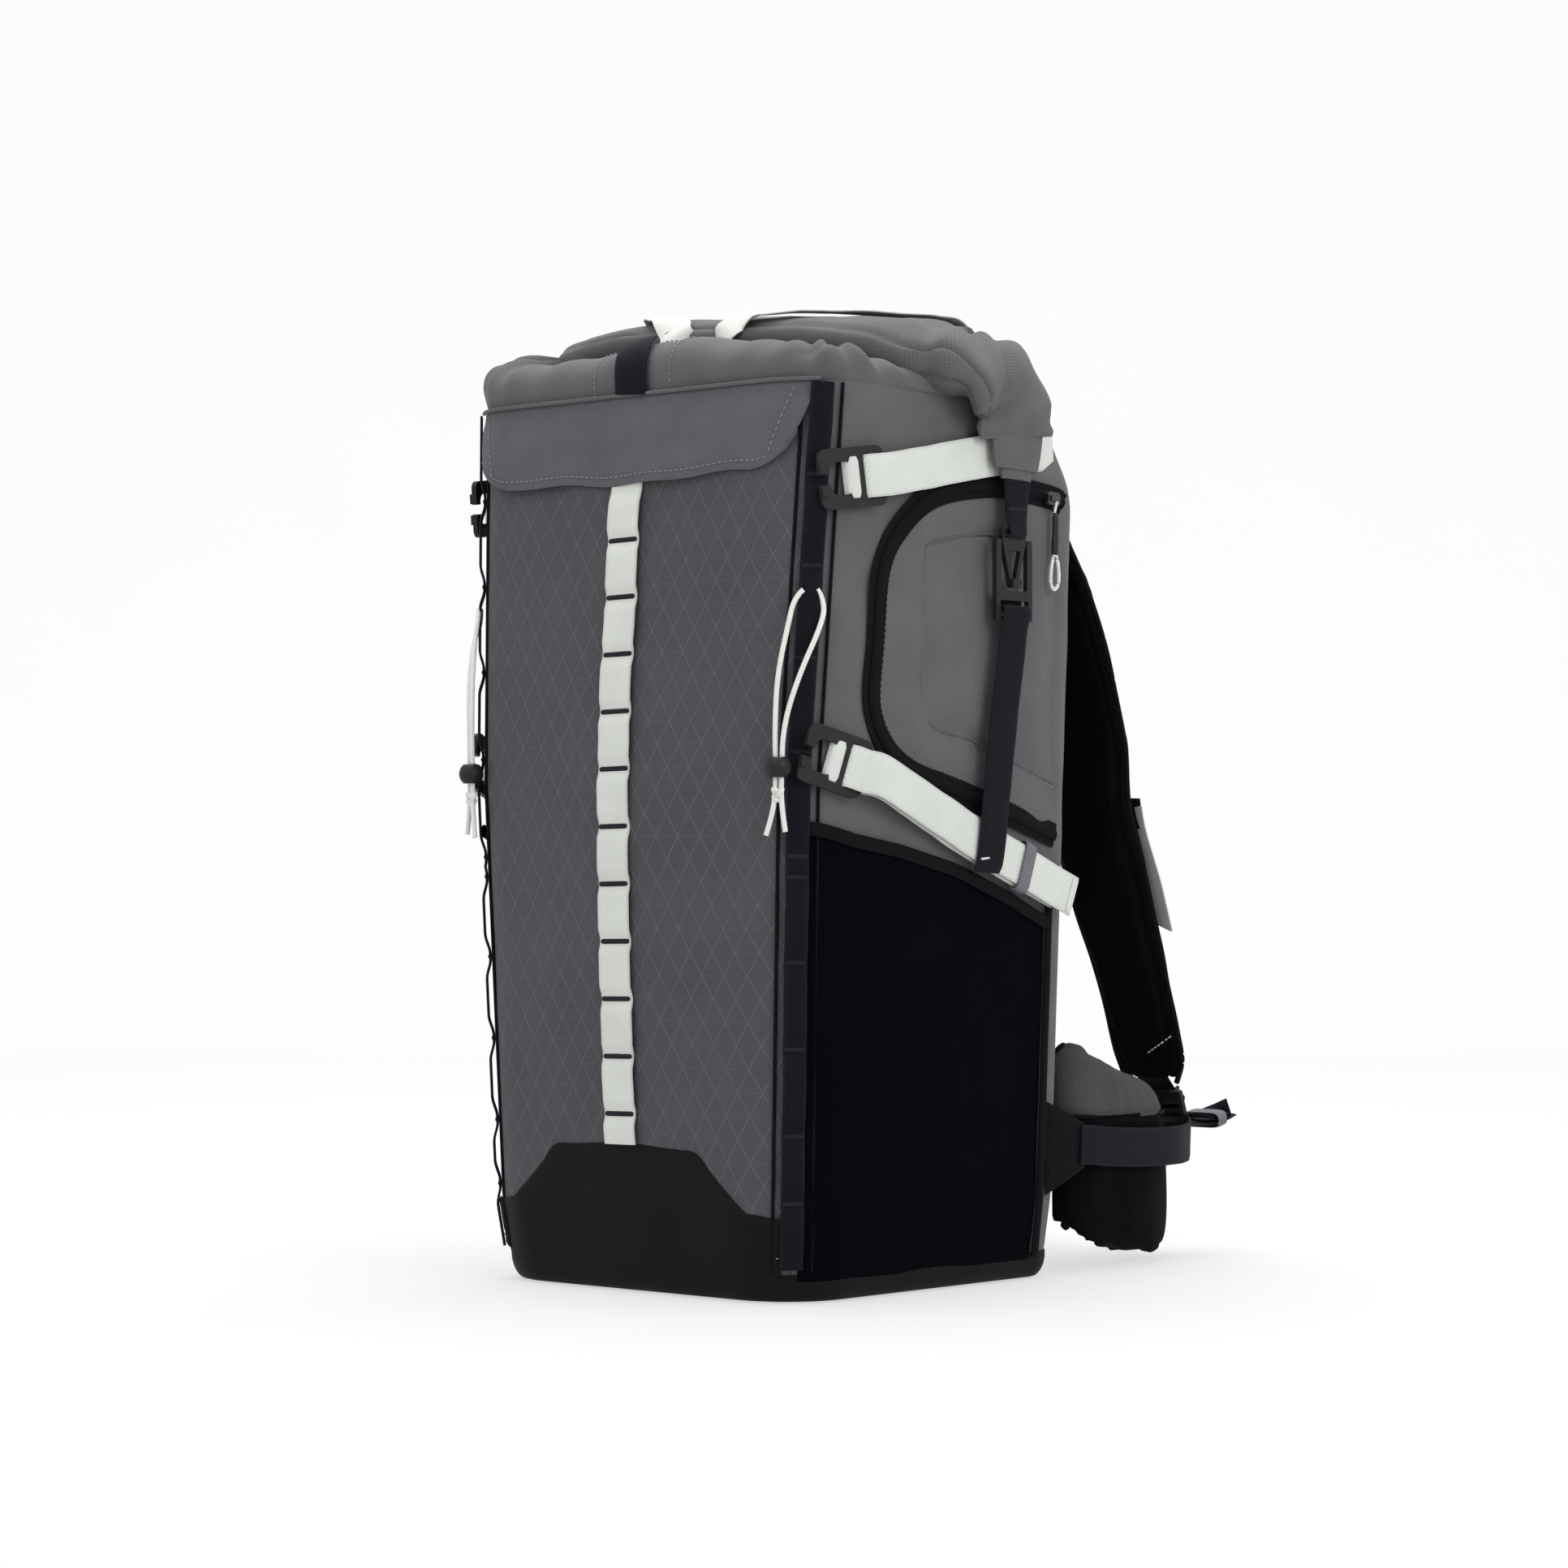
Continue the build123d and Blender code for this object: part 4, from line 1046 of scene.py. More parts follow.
# ------------------------------------------------------------------ collar
def collar_pt(u, b):
    """The collar rises from the rim, rolls over its drawn-in mouth and dips inwards."""
    p0, n0 = surf(u, 531.0, -0.6)
    a = abs(u)
    s = slen(u, 532)
    front = 1 - smooth(a, 0.9, 1.9)
    corner = math.exp(-((a - 1.7) / 0.45) ** 2)
    side = smooth(a, 1.6, 2.2)
    rear = smooth(a, 2.7, 3.3)
    h = 31.5 + 3.0 * math.sin(s * 0.03 + 1.0) * front + 1.6 * nz(s, 0, 3, 0.02)
    h -= 15.0 * side * (1 - rear) - 1.0 * rear
    if u > 0:
        h -= 6.0 * corner + 3.0 * smooth(a, 0.6, 1.2) * front
    else:
        h += 5.0 * corner
    d = 42.0 * front + 24.0 * (1 - front) * (1 - rear) + 76.0 * rear + 10.0 * corner
    phi = b * 1.2 * math.pi / 2
    z = 531.0 + h * math.sin(phi) ** 0.85 if b > 0 else 531.0
    ins = d * (1 - math.cos(phi)) ** 1.35
    belly = 4.2 * math.sin(min(1.0, b * 1.2) * math.pi) * (0.45 + 0.55 * front + 0.5 * corner)
    g = math.sin(s * 0.17 + 2.4 * nz(s, 3, 1, 0.02)) * 1.3 + nz(s * 1.6, z, 9, 0.03) * 2.0
    g += 3.0 * corner * math.sin(s * 0.26 + b * 2.8 + (0.6 if u > 0 else 2.1))
    # long diagonal drag folds that start at the corners
    g -= 2.6 * corner * math.exp(-((b - 0.55 - 0.012 * (s - 150 if s > 0 else s + 150)) / 0.09) ** 2)
    out = belly + g * smooth(b, 0.0, 0.35) * (0.55 + 0.8 * corner) * (1 - 0.5 * smooth(b, 0.8, 1.0))
    nrm = (n0 * math.cos(phi * 0.9) + Vector((0, 0, 1)) * math.sin(phi * 0.9)).normalized()
    p = Vector((p0.x, p0.y, z)) - n0 * ins + nrm * out
    return p, nrm, (s, z + ins)


def collar_mesh():
    nu, nb = 300, 34
    P, N, UV = [], [], []
    for i in range(nu):
        u = -5.0 + 10.0 * i / nu
        rp, rn, ru = [], [], []
        for j in range(nb + 1):
            p, nrm, uv = collar_pt(u, j / nb)
            rp.append(p)
            rn.append(nrm)
            ru.append(uv)
        P.append(rp)
        N.append(rn)
        UV.append(ru)
    return grid_shell("collar_skin", P, N, UV, 2.0, M_GREY, None, closed=True, rnd=0.5)


collar = collar_mesh()
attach(collar, BODY)
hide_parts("collar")

# black webbing tab standing out of the front of the collar
tabp, tabn = [], []
for q in range(12):
    p, nrm, uv = collar_pt(0.012, 0.02 + 0.50 * q / 11)
    tabp.append(Vector((2.0 - 0.5 * (p.y + 117.0), p.y, p.z)) + nrm * 2.6)
    tabn.append(nrm)
tab = ribbon("collar_tab_webbing", tabp, tabn, 25.0, 2.2, M_BLACK, BODY, k=2, crown=0.4, seed=5)
# stitched reinforcement behind the tab
jj = new_join()
for x0 in (-31.0, 31.0):
    row, rn = [], []
    for q in range(20):
        p, nrm, uv = collar_pt(x0 / 104.0, 0.03 + 0.62 * q / 19)
        row.append(p + nrm * 0.3)
        rn.append(nrm)
    stitch_line(jj, row, rn, pitch=3.6, length=2.3, dia=0.36)
row, rn = [], []
for q in range(30):
    p, nrm, uv = collar_pt((-31.0 + 62.0 * q / 29) / 104.0, 0.65)
    row.append(p + nrm * 0.3)
    rn.append(nrm)
stitch_line(jj, row, rn, pitch=3.6, length=2.3, dia=0.36)
finish_join("collar_tab_stitches", jj, M_THREADG, BODY)
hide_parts("collar_tab")

# ------------------------------------------------------------------ rolled closure
ROLL = "roll_top"


def roll_mesh():
    path, hw_, th_ = [], [], []
    #        x     y     z    half-width(y)  half-thickness
    right = [(0, 8, 573.0, 64, 16.0), (40, 8, 573.0, 64, 16.2), (85, 9, 570.5, 63, 17.8), (118, 13, 565.0, 60, 21.0),
             (138, 20, 557.5, 54, 20.5), (150, 29, 549.5, 46, 17.0), (156.5, 38, 541.5, 38.5, 12.5), (159.6, 44, 533.0, 34, 8.6),
             (160.8, 46, 524.0, 33, 6.4), (161.0, 47, 514.0, 34.5, 5.6), (161.0, 47.5, 509.0, 34.0, 3.4)]
    full = [(-x, y, z, a, b) for x, y, z, a, b in right[:0:-1]] + right
    C = catmull([(p[0], p[1], p[2]) for p in full], 14)
    W = [v.x for v in catmull([Vector((p[3], 0, 0)) for p in full], 14)]
    T = [v.x for v in catmull([Vector((p[4], 0, 0)) for p in full], 14)]
    for c in C:
        c.z -= 0.05 * c.x * (1 - smooth(abs(c.x), 128, 155))
    m = 72
    n = len(C)
    verts, uvs, faces = [], [], []
    dist = 0
    for i in range(n):
        tg = (C[min(i + 1, n - 1)] - C[max(i - 1, 0)]).normalized()
        yv = Vector((0, 1, 0))
        yv = (yv - tg * yv.dot(tg)).normalized()
        nv = tg.cross(yv).normalized()
        if nv.z < -0.2 or (abs(nv.z) < 0.2 and nv.x * C[i].x < 0):
            nv = -nv
        if i:
            dist += (C[i] - C[i - 1]).length
        x = C[i].x
        for k in range(m):
            th = 2 * math.pi * k / m
            c, s = math.cos(th), math.sin(th)
            e = 0.86
            cx = math.copysign(abs(c) ** e, c)
            sx = math.copysign(abs(s) ** e, s)
            # layers of the roll: steps on the front and rear faces
            lay = 1.0
            for a0, dp in ((math.radians(158), 2.4), (math.radians(196), 1.8), (math.radians(25), 1.6)):
                dth = (th - a0 + math.pi) % (2 * math.pi) - math.pi
                lay -= 0.0
                if 0 <= dth < 0.5:
                    sx -= 0.0
            w = W[i] * cx
            t = T[i] * sx
            p = C[i] + yv * w + nv * t
            rad = (yv * cx * 0.35 + nv * sx).normalized()
            d = 0.0
            for a0, dp in ((158, 2.6), (203, 1.8), (28, 1.8)):
                q = math.degrees(th) - a0 - 5.0 * nz(dist, a0, 0, 0.012)
                d -= dp * math.exp(-(q / 3.2) ** 2) * (0.35 + 0.65 * smooth(T[i], 6, 16))
            # wrinkles: long shallow ones on top, tight creases at the fold-down
            f = smooth(abs(x), 95, 150)
            d += 1.6 * nz(dist * 0.7, w * 1.2, 5 + (0.5 if t > 0 else 3.1), 0.022) * (1 - 0.3 * f)
            d += 1.0 * nz(dist, w, 12, 0.05)
            d += f * 1.7 * math.sin(dist * 0.33 + w * 0.06 + 2 * nz(dist, w, 2, 0.03)) * smooth(T[i], 2, 9)
            verts.append(p + rad * d)
            uvs.append((dist, math.degrees(th) * 0.6))
    for i in range(n - 1):
        for k in range(m):
            q = (k + 1) % m
            faces.append((i * m + k, i * m + q, (i + 1) * m + q, (i + 1) * m + k))
    faces.append(tuple(range(m)))
    faces.append(tuple((n - 1) * m + k for k in range(m)))
    return make("roll_cloth", verts, faces, M_GREY, ROLL, uvs, 60)


roll = roll_mesh()
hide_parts("roll_top")
# folded ends tucked under the fold-down, one narrower layer below the other
for sd, sx in (("right", 1), ("left", -1)):
    for k, (ys, zs, w, x0, th) in enumerate((((48, 47, 46.5), (524, 505, 489.5), (50, 46, 40), 158.6, 4.2),
                                            ((47, 46.5), (500, 483.5), (32, 27), 158.9, 3.2))):
        pts = [(sx * (x0 + 0.6 * math.sin(i)), y, z) for i, (y, z) in enumerate(zip(ys, zs))]
        ribbon("roll_end_fold_%d_%s" % (k, sd), pts, (sx, 0, 0), list(w), th, M_GREY, ROLL, k=8, wave=1.2, across=10,
               crown=1.6, seed=20 + k)


def roll_top_z(y):
    q = max(0.0, 1 - ((y - 8) / 64.0) ** 2)
    return 573.4 + 16.3 * q ** 0.5


rv = [v.co / MM for v in roll.data.vertices]
ROLLBV = BVHTree.FromPolygons(rv, [tuple(p.vertices) for p in roll.data.polygons])
for sd, sx in (("right", 1), ("left", -1)):
    pts, nn = [], []
    for x, z in ((7.5, 557.0), (11.0, 563.0), (15.5, 569.0), (20.5, 575.0), (26.5, 580.5)):
        hit = ROLLBV.ray_cast(Vector((sx * x, -120.0, z)), Vector((0, 1, 0)))
        pts.append(hit[0] + Vector((0, -1.3 - (1.9 if sx < 0 else 0.0) * (1 - smooth(z, 563, 576)), 0)))
        nn.append(Vector((0, -1.0, 0.15 + (z - 557) * 0.03)).normalized())
    ctl = catmull([(37, -46, 0), (49, -38, 0), (62, -27, 0), (76, -12, 0), (92, 8, 0), (105, 29, 0), (111, 43, 0), (114, 54, 0)], 3)
    for c in ctl:
        hz = []
        for dx, dy in ((0, 0), (5, -5), (-5, 5), (9, -9), (-9, 9)):
            h = ROLLBV.ray_cast(Vector((sx * (c.x + dx), c.y + dy, 700.0)), Vector((0, 0, -1)))
            if h[0] is not None:
                hz.append(h[0].z)
        h = ROLLBV.ray_cast(Vector((sx * c.x, c.y, 700.0)), Vector((0, 0, -1)))
        n = h[1] if h[1].z > 0 else -h[1]
        pts.append(Vector((sx * c.x, c.y, max(h[0].z, 0.55 * h[0].z + 0.45 * max(hz)) + 1.5)))
        nn.append((n + Vector((0, 0, 0.9))).normalized())
    ob = ribbon("top_strap_" + sd, pts, nn, 22.0, 1.7, M_WHITE, ROLL, k=3, across=8, wave=0.4, seed=30 + sx, crown=0.3)
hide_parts("top_v_strap")

# ------------------------------------------------------------------ hook frames and compression straps
def hook_frame(z, tilt):
    hw, yf, yb = dims(z)
    n = Vector((math.cos(math.radians(22.5)), -math.sin(math.radians(22.5)), 0))
    t = Vector((math.sin(math.radians(22.5)), math.cos(math.radians(22.5)), 0))
    c = Vector((hw - RF, yf + RF, z)) + n * (RF + 2.9)
    a = math.radians(tilt)
    x = t * math.cos(a) - Vector((0, 0, 1)) * math.sin(a)
    return c, x, n


def hpt(fr, u, n):
    return fr[0] + fr[1] * u + fr[2] * n


UPF, LOF = hook_frame(476.0, -7.0), hook_frame(313.0, 17.0)
for sd, sx in (("right", 1), ("left", -1)):
    mm_ = (lambda p: Vector(p)) if sx == 1 else mirx
    # upper: wraps the hook's rear bar, then lies along the side to the back seam
    pts = [hpt(UPF, 20.0, -0.9), hpt(UPF, 13.5, -0.9), hpt(UPF, 9.9, 0.6), hpt(UPF, 9.9, 3.0), hpt(UPF, 13.5, 4.0), hpt(UPF, 20.0, 3.2),
           Vector((158.2, -62.0, 480.0)), Vector((155.2, -20.0, 488.0)), Vector((153.9, 28.0, 497.0)),
           Vector((148.6, 76.0, 503.5)), Vector((141.0, 106.0, 508.0))]
    ns = [-UPF[2], -UPF[2], -UPF[1], -UPF[1] * 0.8 + UPF[2] * 0.5, UPF[2], UPF[2], Vector((1, -0.1, 0)), Vector((1, 0, 0)), Vector((1, 0, 0)), Vector((1, 0, 0)),
          Vector((0.95, 0.3, 0))]
    ob = ribbon("upper_strap_" + sd, [mm_(p) for p in pts], [mm_(n) for n in ns], 25.0, 1.6, M_WHITE, None, k=7, across=8,
                wave=0.5, seed=40 + sx)
    tuple(mm_(hpt(UPF, 12.0, 1.5)) * MM)
    tuple(mm_(Vector((157.6, -42.0, 484.0))) * MM)
    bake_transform(ob)
    for fr, kk in ((UPF, 0), (LOF, 1)):
        wp = [hpt(fr, 8.5, -1.6), hpt(fr, 5.5, 0.8), hpt(fr, 2.0, 2.2), hpt(fr, -1.6, 1.4), hpt(fr, -3.4, -1.2)]
        ribbon("hook_web_%d_%s" % (kk, sd), [mm_(p) for p in wp],
               [mm_(n) for n in (fr[1] * 0.6 + fr[2] * 0.6, fr[1] * 0.4 + fr[2], fr[2], fr[2] - fr[1] * 0.4, fr[2] * 0.4 - fr[1])],
               24.0, 1.5, M_WHITE, ("hook_upper_", "hook_lower_")[kk] + sd, k=6, across=8, seed=44 + kk)
    # lower: doubled back through the bar, tail held by an elastic keeper
    pts = [hpt(LOF, 26.0, -0.9), hpt(LOF, 13.5, -0.9), hpt(LOF, 9.9, 0.6), hpt(LOF, 9.9, 3.0), hpt(LOF, 13.5, 4.2), hpt(LOF, 20.0, 4.6),
           Vector((154.8, -66.0, 304.2)), Vector((152.6, -30.0, 290.0)), Vector((150.8, 15.0, 271.5)), Vector((149.7, 60.0, 255.0)),
           Vector((149.4, 90.0, 243.5)), Vector((151.4, 114.0, 233.5))]
    ns = [-LOF[2], -LOF[2], -LOF[1], -LOF[1] * 0.8 + LOF[2] * 0.5, LOF[2], LOF[2]] + [Vector((1, 0, 0))] * 6
    ob = ribbon("lower_strap_outer_" + sd, [mm_(p) for p in pts], [mm_(n) for n in ns], 25.0, 1.6, M_WHITE, None, k=7, across=8,
                wave=0.6, seed=50 + sx)
    tuple(mm_(hpt(LOF, 12.0, 1.5)) * MM)
    tuple(mm_(Vector((153.0, -44.0, 296.0))) * MM)
    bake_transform(ob)
    pts = [hpt(LOF, 13.5, -1.8), hpt(LOF, 24.0, -0.6), Vector((152.4, -64.0, 302.4)), Vector((150.2, -30.0, 288.6)), Vector((148.3, 15.0, 270.2)),
           Vector((147.3, 60.0, 253.8)), Vector((144.6, 104.0, 239.0))]
    ns = [LOF[2], LOF[2]] + [Vector((1, 0, 0))] * 5
    li = ribbon("lower_strap_inner_" + sd, [mm_(p) for p in pts], [mm_(n) for n in ns], 25.0, 1.5, M_WHITE, None, k=7, across=8,
                wave=0.6, seed=53 + sx)
    tuple(mm_(hpt(LOF, 12.0, 1.5)) * MM)
    tuple(mm_(Vector((153.0, -44.0, 296.0))) * MM)
    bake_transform(li)
    j = new_join()
    for y, z in ((114.0 - 4.0, 235.0),):
        bar(j, mm_((151.6 + 1.4, y, z)), (0, -0.37, -0.93), (sx, 0, 0), 22.0, 2.0, 0.5)
    finish_join("lower_strap_tail_tack_" + sd, j, M_THREADW, BODY)
    # elastic keeper round the doubled strap
    cen = Vector((148.9, 68.5, 251.8))
    al = Vector((0, 0.94, -0.342))
    up = Vector((0, 0.342, 0.94))
    loop = []
    for q in range(28):
        a = 2 * math.pi * q / 28
        c, s = math.cos(a), math.sin(a)
        loop.append(mm_(cen + up * (math.copysign(abs(c) ** 0.35, c) * 14.6) + Vector((1, 0, 0)) * (math.copysign(abs(s) ** 0.5, s) * 3.4)))
    nl = []
    for q in range(28):
        a = 2 * math.pi * q / 28
        nl.append(mm_(up * math.cos(a) * 0.6 + Vector((1, 0, 0)) * math.sin(a)))
    kp = ribbon("keeper_elastic_" + sd, loop, nl, 10.0, 1.1, M_ELASTIC, BODY, k=1, across=4, cyclic=True)
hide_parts("upper_compression_straps")
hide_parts("lower_compression_straps")
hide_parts("strap_keepers")

# ------------------------------------------------------------------ side access zip and door (right side)
def side_pt(y, z, off, sx=1):
    u = u_side(y, z)
    p, n = surf(sx * u, z, off)
    return p, n


zip_yz = [(104, 473), (98, 476), (70, 479), (32, 480), (-17, 471), (-47, 451), (-63, 426), (-66.5, 384), (-67, 341), (-41, 312),
          (13, 296), (67, 282), (106, 271)]
C = catmull([(0, y, z) for y, z in zip_yz], 8)
zp, zn = [], []
for c in C:
    p, n = side_pt(c.y, c.z, 0.7)
    zp.append(p)
    zn.append(n)
tape = ribbon("side_zipper_cloth", zp, zn, 15.0, 1.3, M_TAPE, BODY, k=1, across=8, seed=60)
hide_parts("side_zipper_tape")
zt = [p + n * 1.3 for p, n in zip(zp, zn)]
ribbon("side_zipper_coil_cover", zt, zn, 6.4, 0.9, M_PIPE, BODY, k=1, across=6, crown=0.7, seed=61)
jj = new_join()
for o in (-7.2, 7.4):
    pts = []
    for i, (p, n) in enumerate(zip(zp, zn)):
        tg = (zp[min(i + 1, len(zp) - 1)] - zp[max(i - 1, 0)]).normalized()
        pts.append(p + n.cross(tg).normalized() * o + n * 0.9)
    stitch_line(jj, pts, zn, pitch=3.6, length=2.2, dia=0.3)
finish_join("side_zipper_stitches", jj, M_THREADB, BODY)

door_in = [(104, 440), (70, 446), (32, 451), (-17, 443), (-24.5, 432), (-24.5, 390), (-24, 352), (-13, 334), (20, 328), (60, 316), (104, 303)]
# the door's own seam lines, one on each side of a shallow padded channel
DC = catmull([(0, y, z) for y, z in door_in], 8)
sp, sn = [], []
for c in DC:
    p, n = side_pt(c.y, c.z, 0.0)
    sp.append(p)
    sn.append(n)
jj = new_join()
tube(jj, [p + n * 0.5 for p, n in zip(sp, sn)], 1.2, m=6, k=1, flat=0.8)
finish_join("door_inner_seam", jj, M_GREY, BODY, 60)
jj = new_join()
stitch_line(jj, [p + n * 0.2 + Vector((0, 2.2, -2.4)) for p, n in zip(sp, sn)], sn, pitch=3.8, length=2.4, dia=0.32)
finish_join("door_seam_stitches", jj, M_THREADG, BODY)


def door_patch():
    out = catmull([(0, y, z) for y, z in zip_yz[1:]] + [(0, 100, 330), (0, 100, 420)], 6)
    cy = sum(c.y for c in out) / len(out)
    cz = sum(c.z for c in out) / len(out)
    m = len(out)
    rings = 16
    verts, uvs, faces = [], [], []
    def pt(c, k):
        y = cy + (c.y - cy) * k
        z = cz + (c.z - cz) * k
        dn = min(math.hypot(y - d.y, z - d.z) for d in DC)
        o = 2.4 * smooth(dn, 0.0, 9.0) + 1.4 * nz(y, z, 21, 0.02) + 1.1 * nz(y, z, 25, 0.045)
        p, n = side_pt(y, z, o * smooth(1 - k, 0.0, 0.2) + 0.5)
        return p, n
    for r in range(rings + 1):
        k = 1 - r / rings * 0.97
        for c in out:
            p, n = pt(c, k)
            verts.append(p)
            uvs.append((slen(u_side(p.y, p.z), p.z), p.z))
    for r in range(rings):
        for i in range(m):
            q = (i + 1) % m
            faces.append((r * m + i, r * m + q, (r + 1) * m + q, (r + 1) * m + i))
    faces.append(tuple(rings * m + i for i in range(m)))
    base = len(verts)
    for c in out:
        p, n = pt(c, 1.0)
        verts.append(p - n * 1.4)
        uvs.append((slen(u_side(p.y, p.z), p.z), p.z))
    for i in range(m):
        q = (i + 1) % m
        faces.append((q, i, base + i, base + q))
    faces.append(tuple(base + i for i in range(m - 1, -1, -1)))
    return make("door_cloth", verts, faces, M_GREY, BODY, uvs, 50)


door = door_patch()
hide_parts("side_access_panel")

# zip pull: moulded sleeve with a white cord loop
PULLX = dims(475)[0]
jj = new_join()
tube(jj, [(PULLX + 5.6, 90.5, 470.0), (PULLX + 6.6, 90.8, 464.0), (PULLX + 6.2, 91.2, 452.0), (PULLX + 5.8, 91.0, 441.5)],
     [1.6, 2.6, 2.9, 2.4], m=12, k=6, flat=0.62, nrm=(1, 0, 0))
sleeve = finish_join("zip_pull_sleeve", jj, M_BALL, "zip_slider", 60)
jj = new_join()
tube(jj, [(PULLX + 5.8, 91.6, 443.0), (PULLX + 5.9, 94.2, 434.0), (PULLX + 5.6, 94.6, 424.5), (PULLX + 5.4, 90.8, 420.5), (PULLX + 5.4, 87.4, 424.5),
          (PULLX + 5.6, 87.8, 434.0), (PULLX + 5.8, 90.4, 443.0)], 1.15, m=8, k=8)
tube(jj, [(PULLX + 4.2, 91.5, 473.5), (PULLX + 6.4, 93.0, 476.0), (PULLX + 6.8, 91.0, 472.0), (PULLX + 6.2, 90.0, 467.0)], 1.0, m=8, k=6)
loopc = finish_join("zip_pull_loop", jj, M_CORD, "zip_slider", 60)
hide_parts("zipper_pull")

# ------------------------------------------------------------------ roll side webbing
RX = 159.4
for sd, sx in (("right", 1), ("left", -1)):
    mm_ = (lambda p: Vector(p)) if sx == 1 else mirx
    # loop: folded webbing from under the roll end down to the male hook's bar
    pts = [(RX + 0.9, 49.0, 500.0), (RX + 1.0, 48.0, 484.0), (RX + 1.4, 46.4, 464.0), (RX + 3.4, 45.2, 453.4), (RX + 3.9, 44.8, 450.6),
           (RX + 1.0, 44.7, 449.8)]
    ns = [(1, 0, 0)] * 3 + [(1, 0, 0.1), (0.6, 0, -0.8), (-0.3, 0, -1)]
    ribbon("roll_loop_" + sd, [mm_(p) for p in pts], [mm_(n) for n in ns], [27.0, 24.5, 20.0, 17.0, 16.6, 16.6], 1.8, M_BLACK, ROLL,
                     k=7, across=8, wave=0.4, seed=70 + sx)
    j = new_join()
    bar(j, mm_((RX + 3.3, 46.5, 466.0)), (0, 1, 0.03), (sx, 0, 0), 18.0, 2.2, 0.5)
    bar(j, mm_((RX + 2.9, 48.0, 484.0)), (0, 1, 0.03), (sx, 0, 0), 22.0, 2.2, 0.5)
    finish_join("roll_loop_bartacks_" + sd, j, M_THREADB, ROLL)
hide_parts("roll_loops")
for sd, sx in (("right", 1), ("left", -1)):
    mm_ = (lambda p: Vector(p)) if sx == 1 else mirx
    # webbing wraps the ladder-lock bar, then runs down over the lower strap
    pts = [(RX - 1.6, 44.5, 413.0), (RX - 1.4, 44.5, 408.2), (RX + 1.4, 44.5, 405.6), (RX + 4.0, 44.5, 406.4), (RX + 3.9, 44.4, 401.0), (RX + 2.0, 44.0, 394.0),
           (RX - 0.2, 41.5, 366.0), (RX - 3.6, 37.5, 318.0), (RX - 5.6, 33.5, 276.0), (RX - 6.6, 31.5, 256.0), (RX - 8.8, 31.0, 249.0)]
    ns = [(-1, 0, 0), (-0.6, 0, -0.8), (0.2, 0, 1.0), (1, 0, 0.3), (1, 0, 0), (1, 0, 0), (1, 0, 0), (1, 0, 0), (1, 0, 0), (0.95, 0, -0.1), (0.6, 0, -0.5)]
    ribbon("roll_strap_" + sd, [mm_(p) for p in pts], [mm_(n) for n in ns], 24.5, 1.7, M_BLACK, BODY, k=8, across=8, wave=0.5,
                     seed=80 + sx)
    j = new_join()
    bar(j, mm_((RX - 5.4, 30.8, 258.0)), (0, 1, 0.1), (sx, 0, 0.1), 19.0, 3.0, 0.7)
    finish_join("roll_strap_bartack_" + sd, j, M_THREADW, BODY)
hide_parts("roll_straps")

# ------------------------------------------------------------------ anchor tabs on the base and in the lower back seam
def anchor_tab(sd, sx):
    P, N, UV = [], [], []
    for i in range(15):
        rp, rn, ru = [], [], []
        for j2 in range(15):
            a, b = i / 14, j2 / 14
            ang = 1 + (-57 + 19 * a + 90) / 90 - 0
            z = 19.5 + 30.0 * b
            inset = 0.06 * (1 - b)
            u = 1.367 + (0.211) * a
            u = 1.4725 + (u - 1.4725) * (1 + inset)
            p, n = surf(sx * u, z, 3.2 - 0.5 * math.exp(-((b - 0.25) / 0.06) ** 2))
            rp.append(p)
            rn.append(n)
            ru.append((slen(u, z), z))
        P.append(rp)
        N.append(rn)
        UV.append(ru)
    return grid_shell("base_tab_" + sd, P, N, UV, 2.4, M_BASE, BODY, rnd=0.4)


at_r, at_l = anchor_tab("right", 1), anchor_tab("left", -1)
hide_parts("anchor_tabs")
jj = new_join()
for sx in (1, -1):
    pp, nn = [], []
    for i in range(20):
        u = 1.38 + 0.18 * i / 19
        p, n = surf(sx * u, 26.5, 3.4)
        pp.append(p)
        nn.append(n)
    stitch_line(jj, pp, nn, pitch=2.6, length=1.8, dia=0.35)
finish_join("base_tab_stitches", jj, M_THREADG, BODY)


def anchor_patch(sd, sx):
    mm_ = (lambda p: Vector(p)) if sx == 1 else mirx
    P, N, UV = [], [], []
    for i in range(13):
        rp, rn, ru = [], [], []
        for j2 in range(13):
            a, b = i / 12, j2 / 12
            y = 106.0 + 37.0 * a
            h = 29.0 - 15.5 * a
            z = 80.0 + h * (2 * b - 1)
            x = 136.4 + 2.6 * a + 0.8 * math.sin(a * math.pi)
            rp.append(mm_((x, y, z)))
            rn.append(Vector((sx, 0, 0)))
            ru.append((y, z))
        P.append(rp)
        N.append(rn)
        UV.append(ru)
    return grid_shell("strap_anchor_" + sd, P, N, UV, 1.6, mesh_fabric("anchor_mesh_" + sd, (0.0045, 0.0045, 0.0055), cell=2.0, sheen=0.02), BODY, rnd=0.4)


anchor_r = anchor_patch("right", 1)
anchor_l = anchor_patch("left", -1)

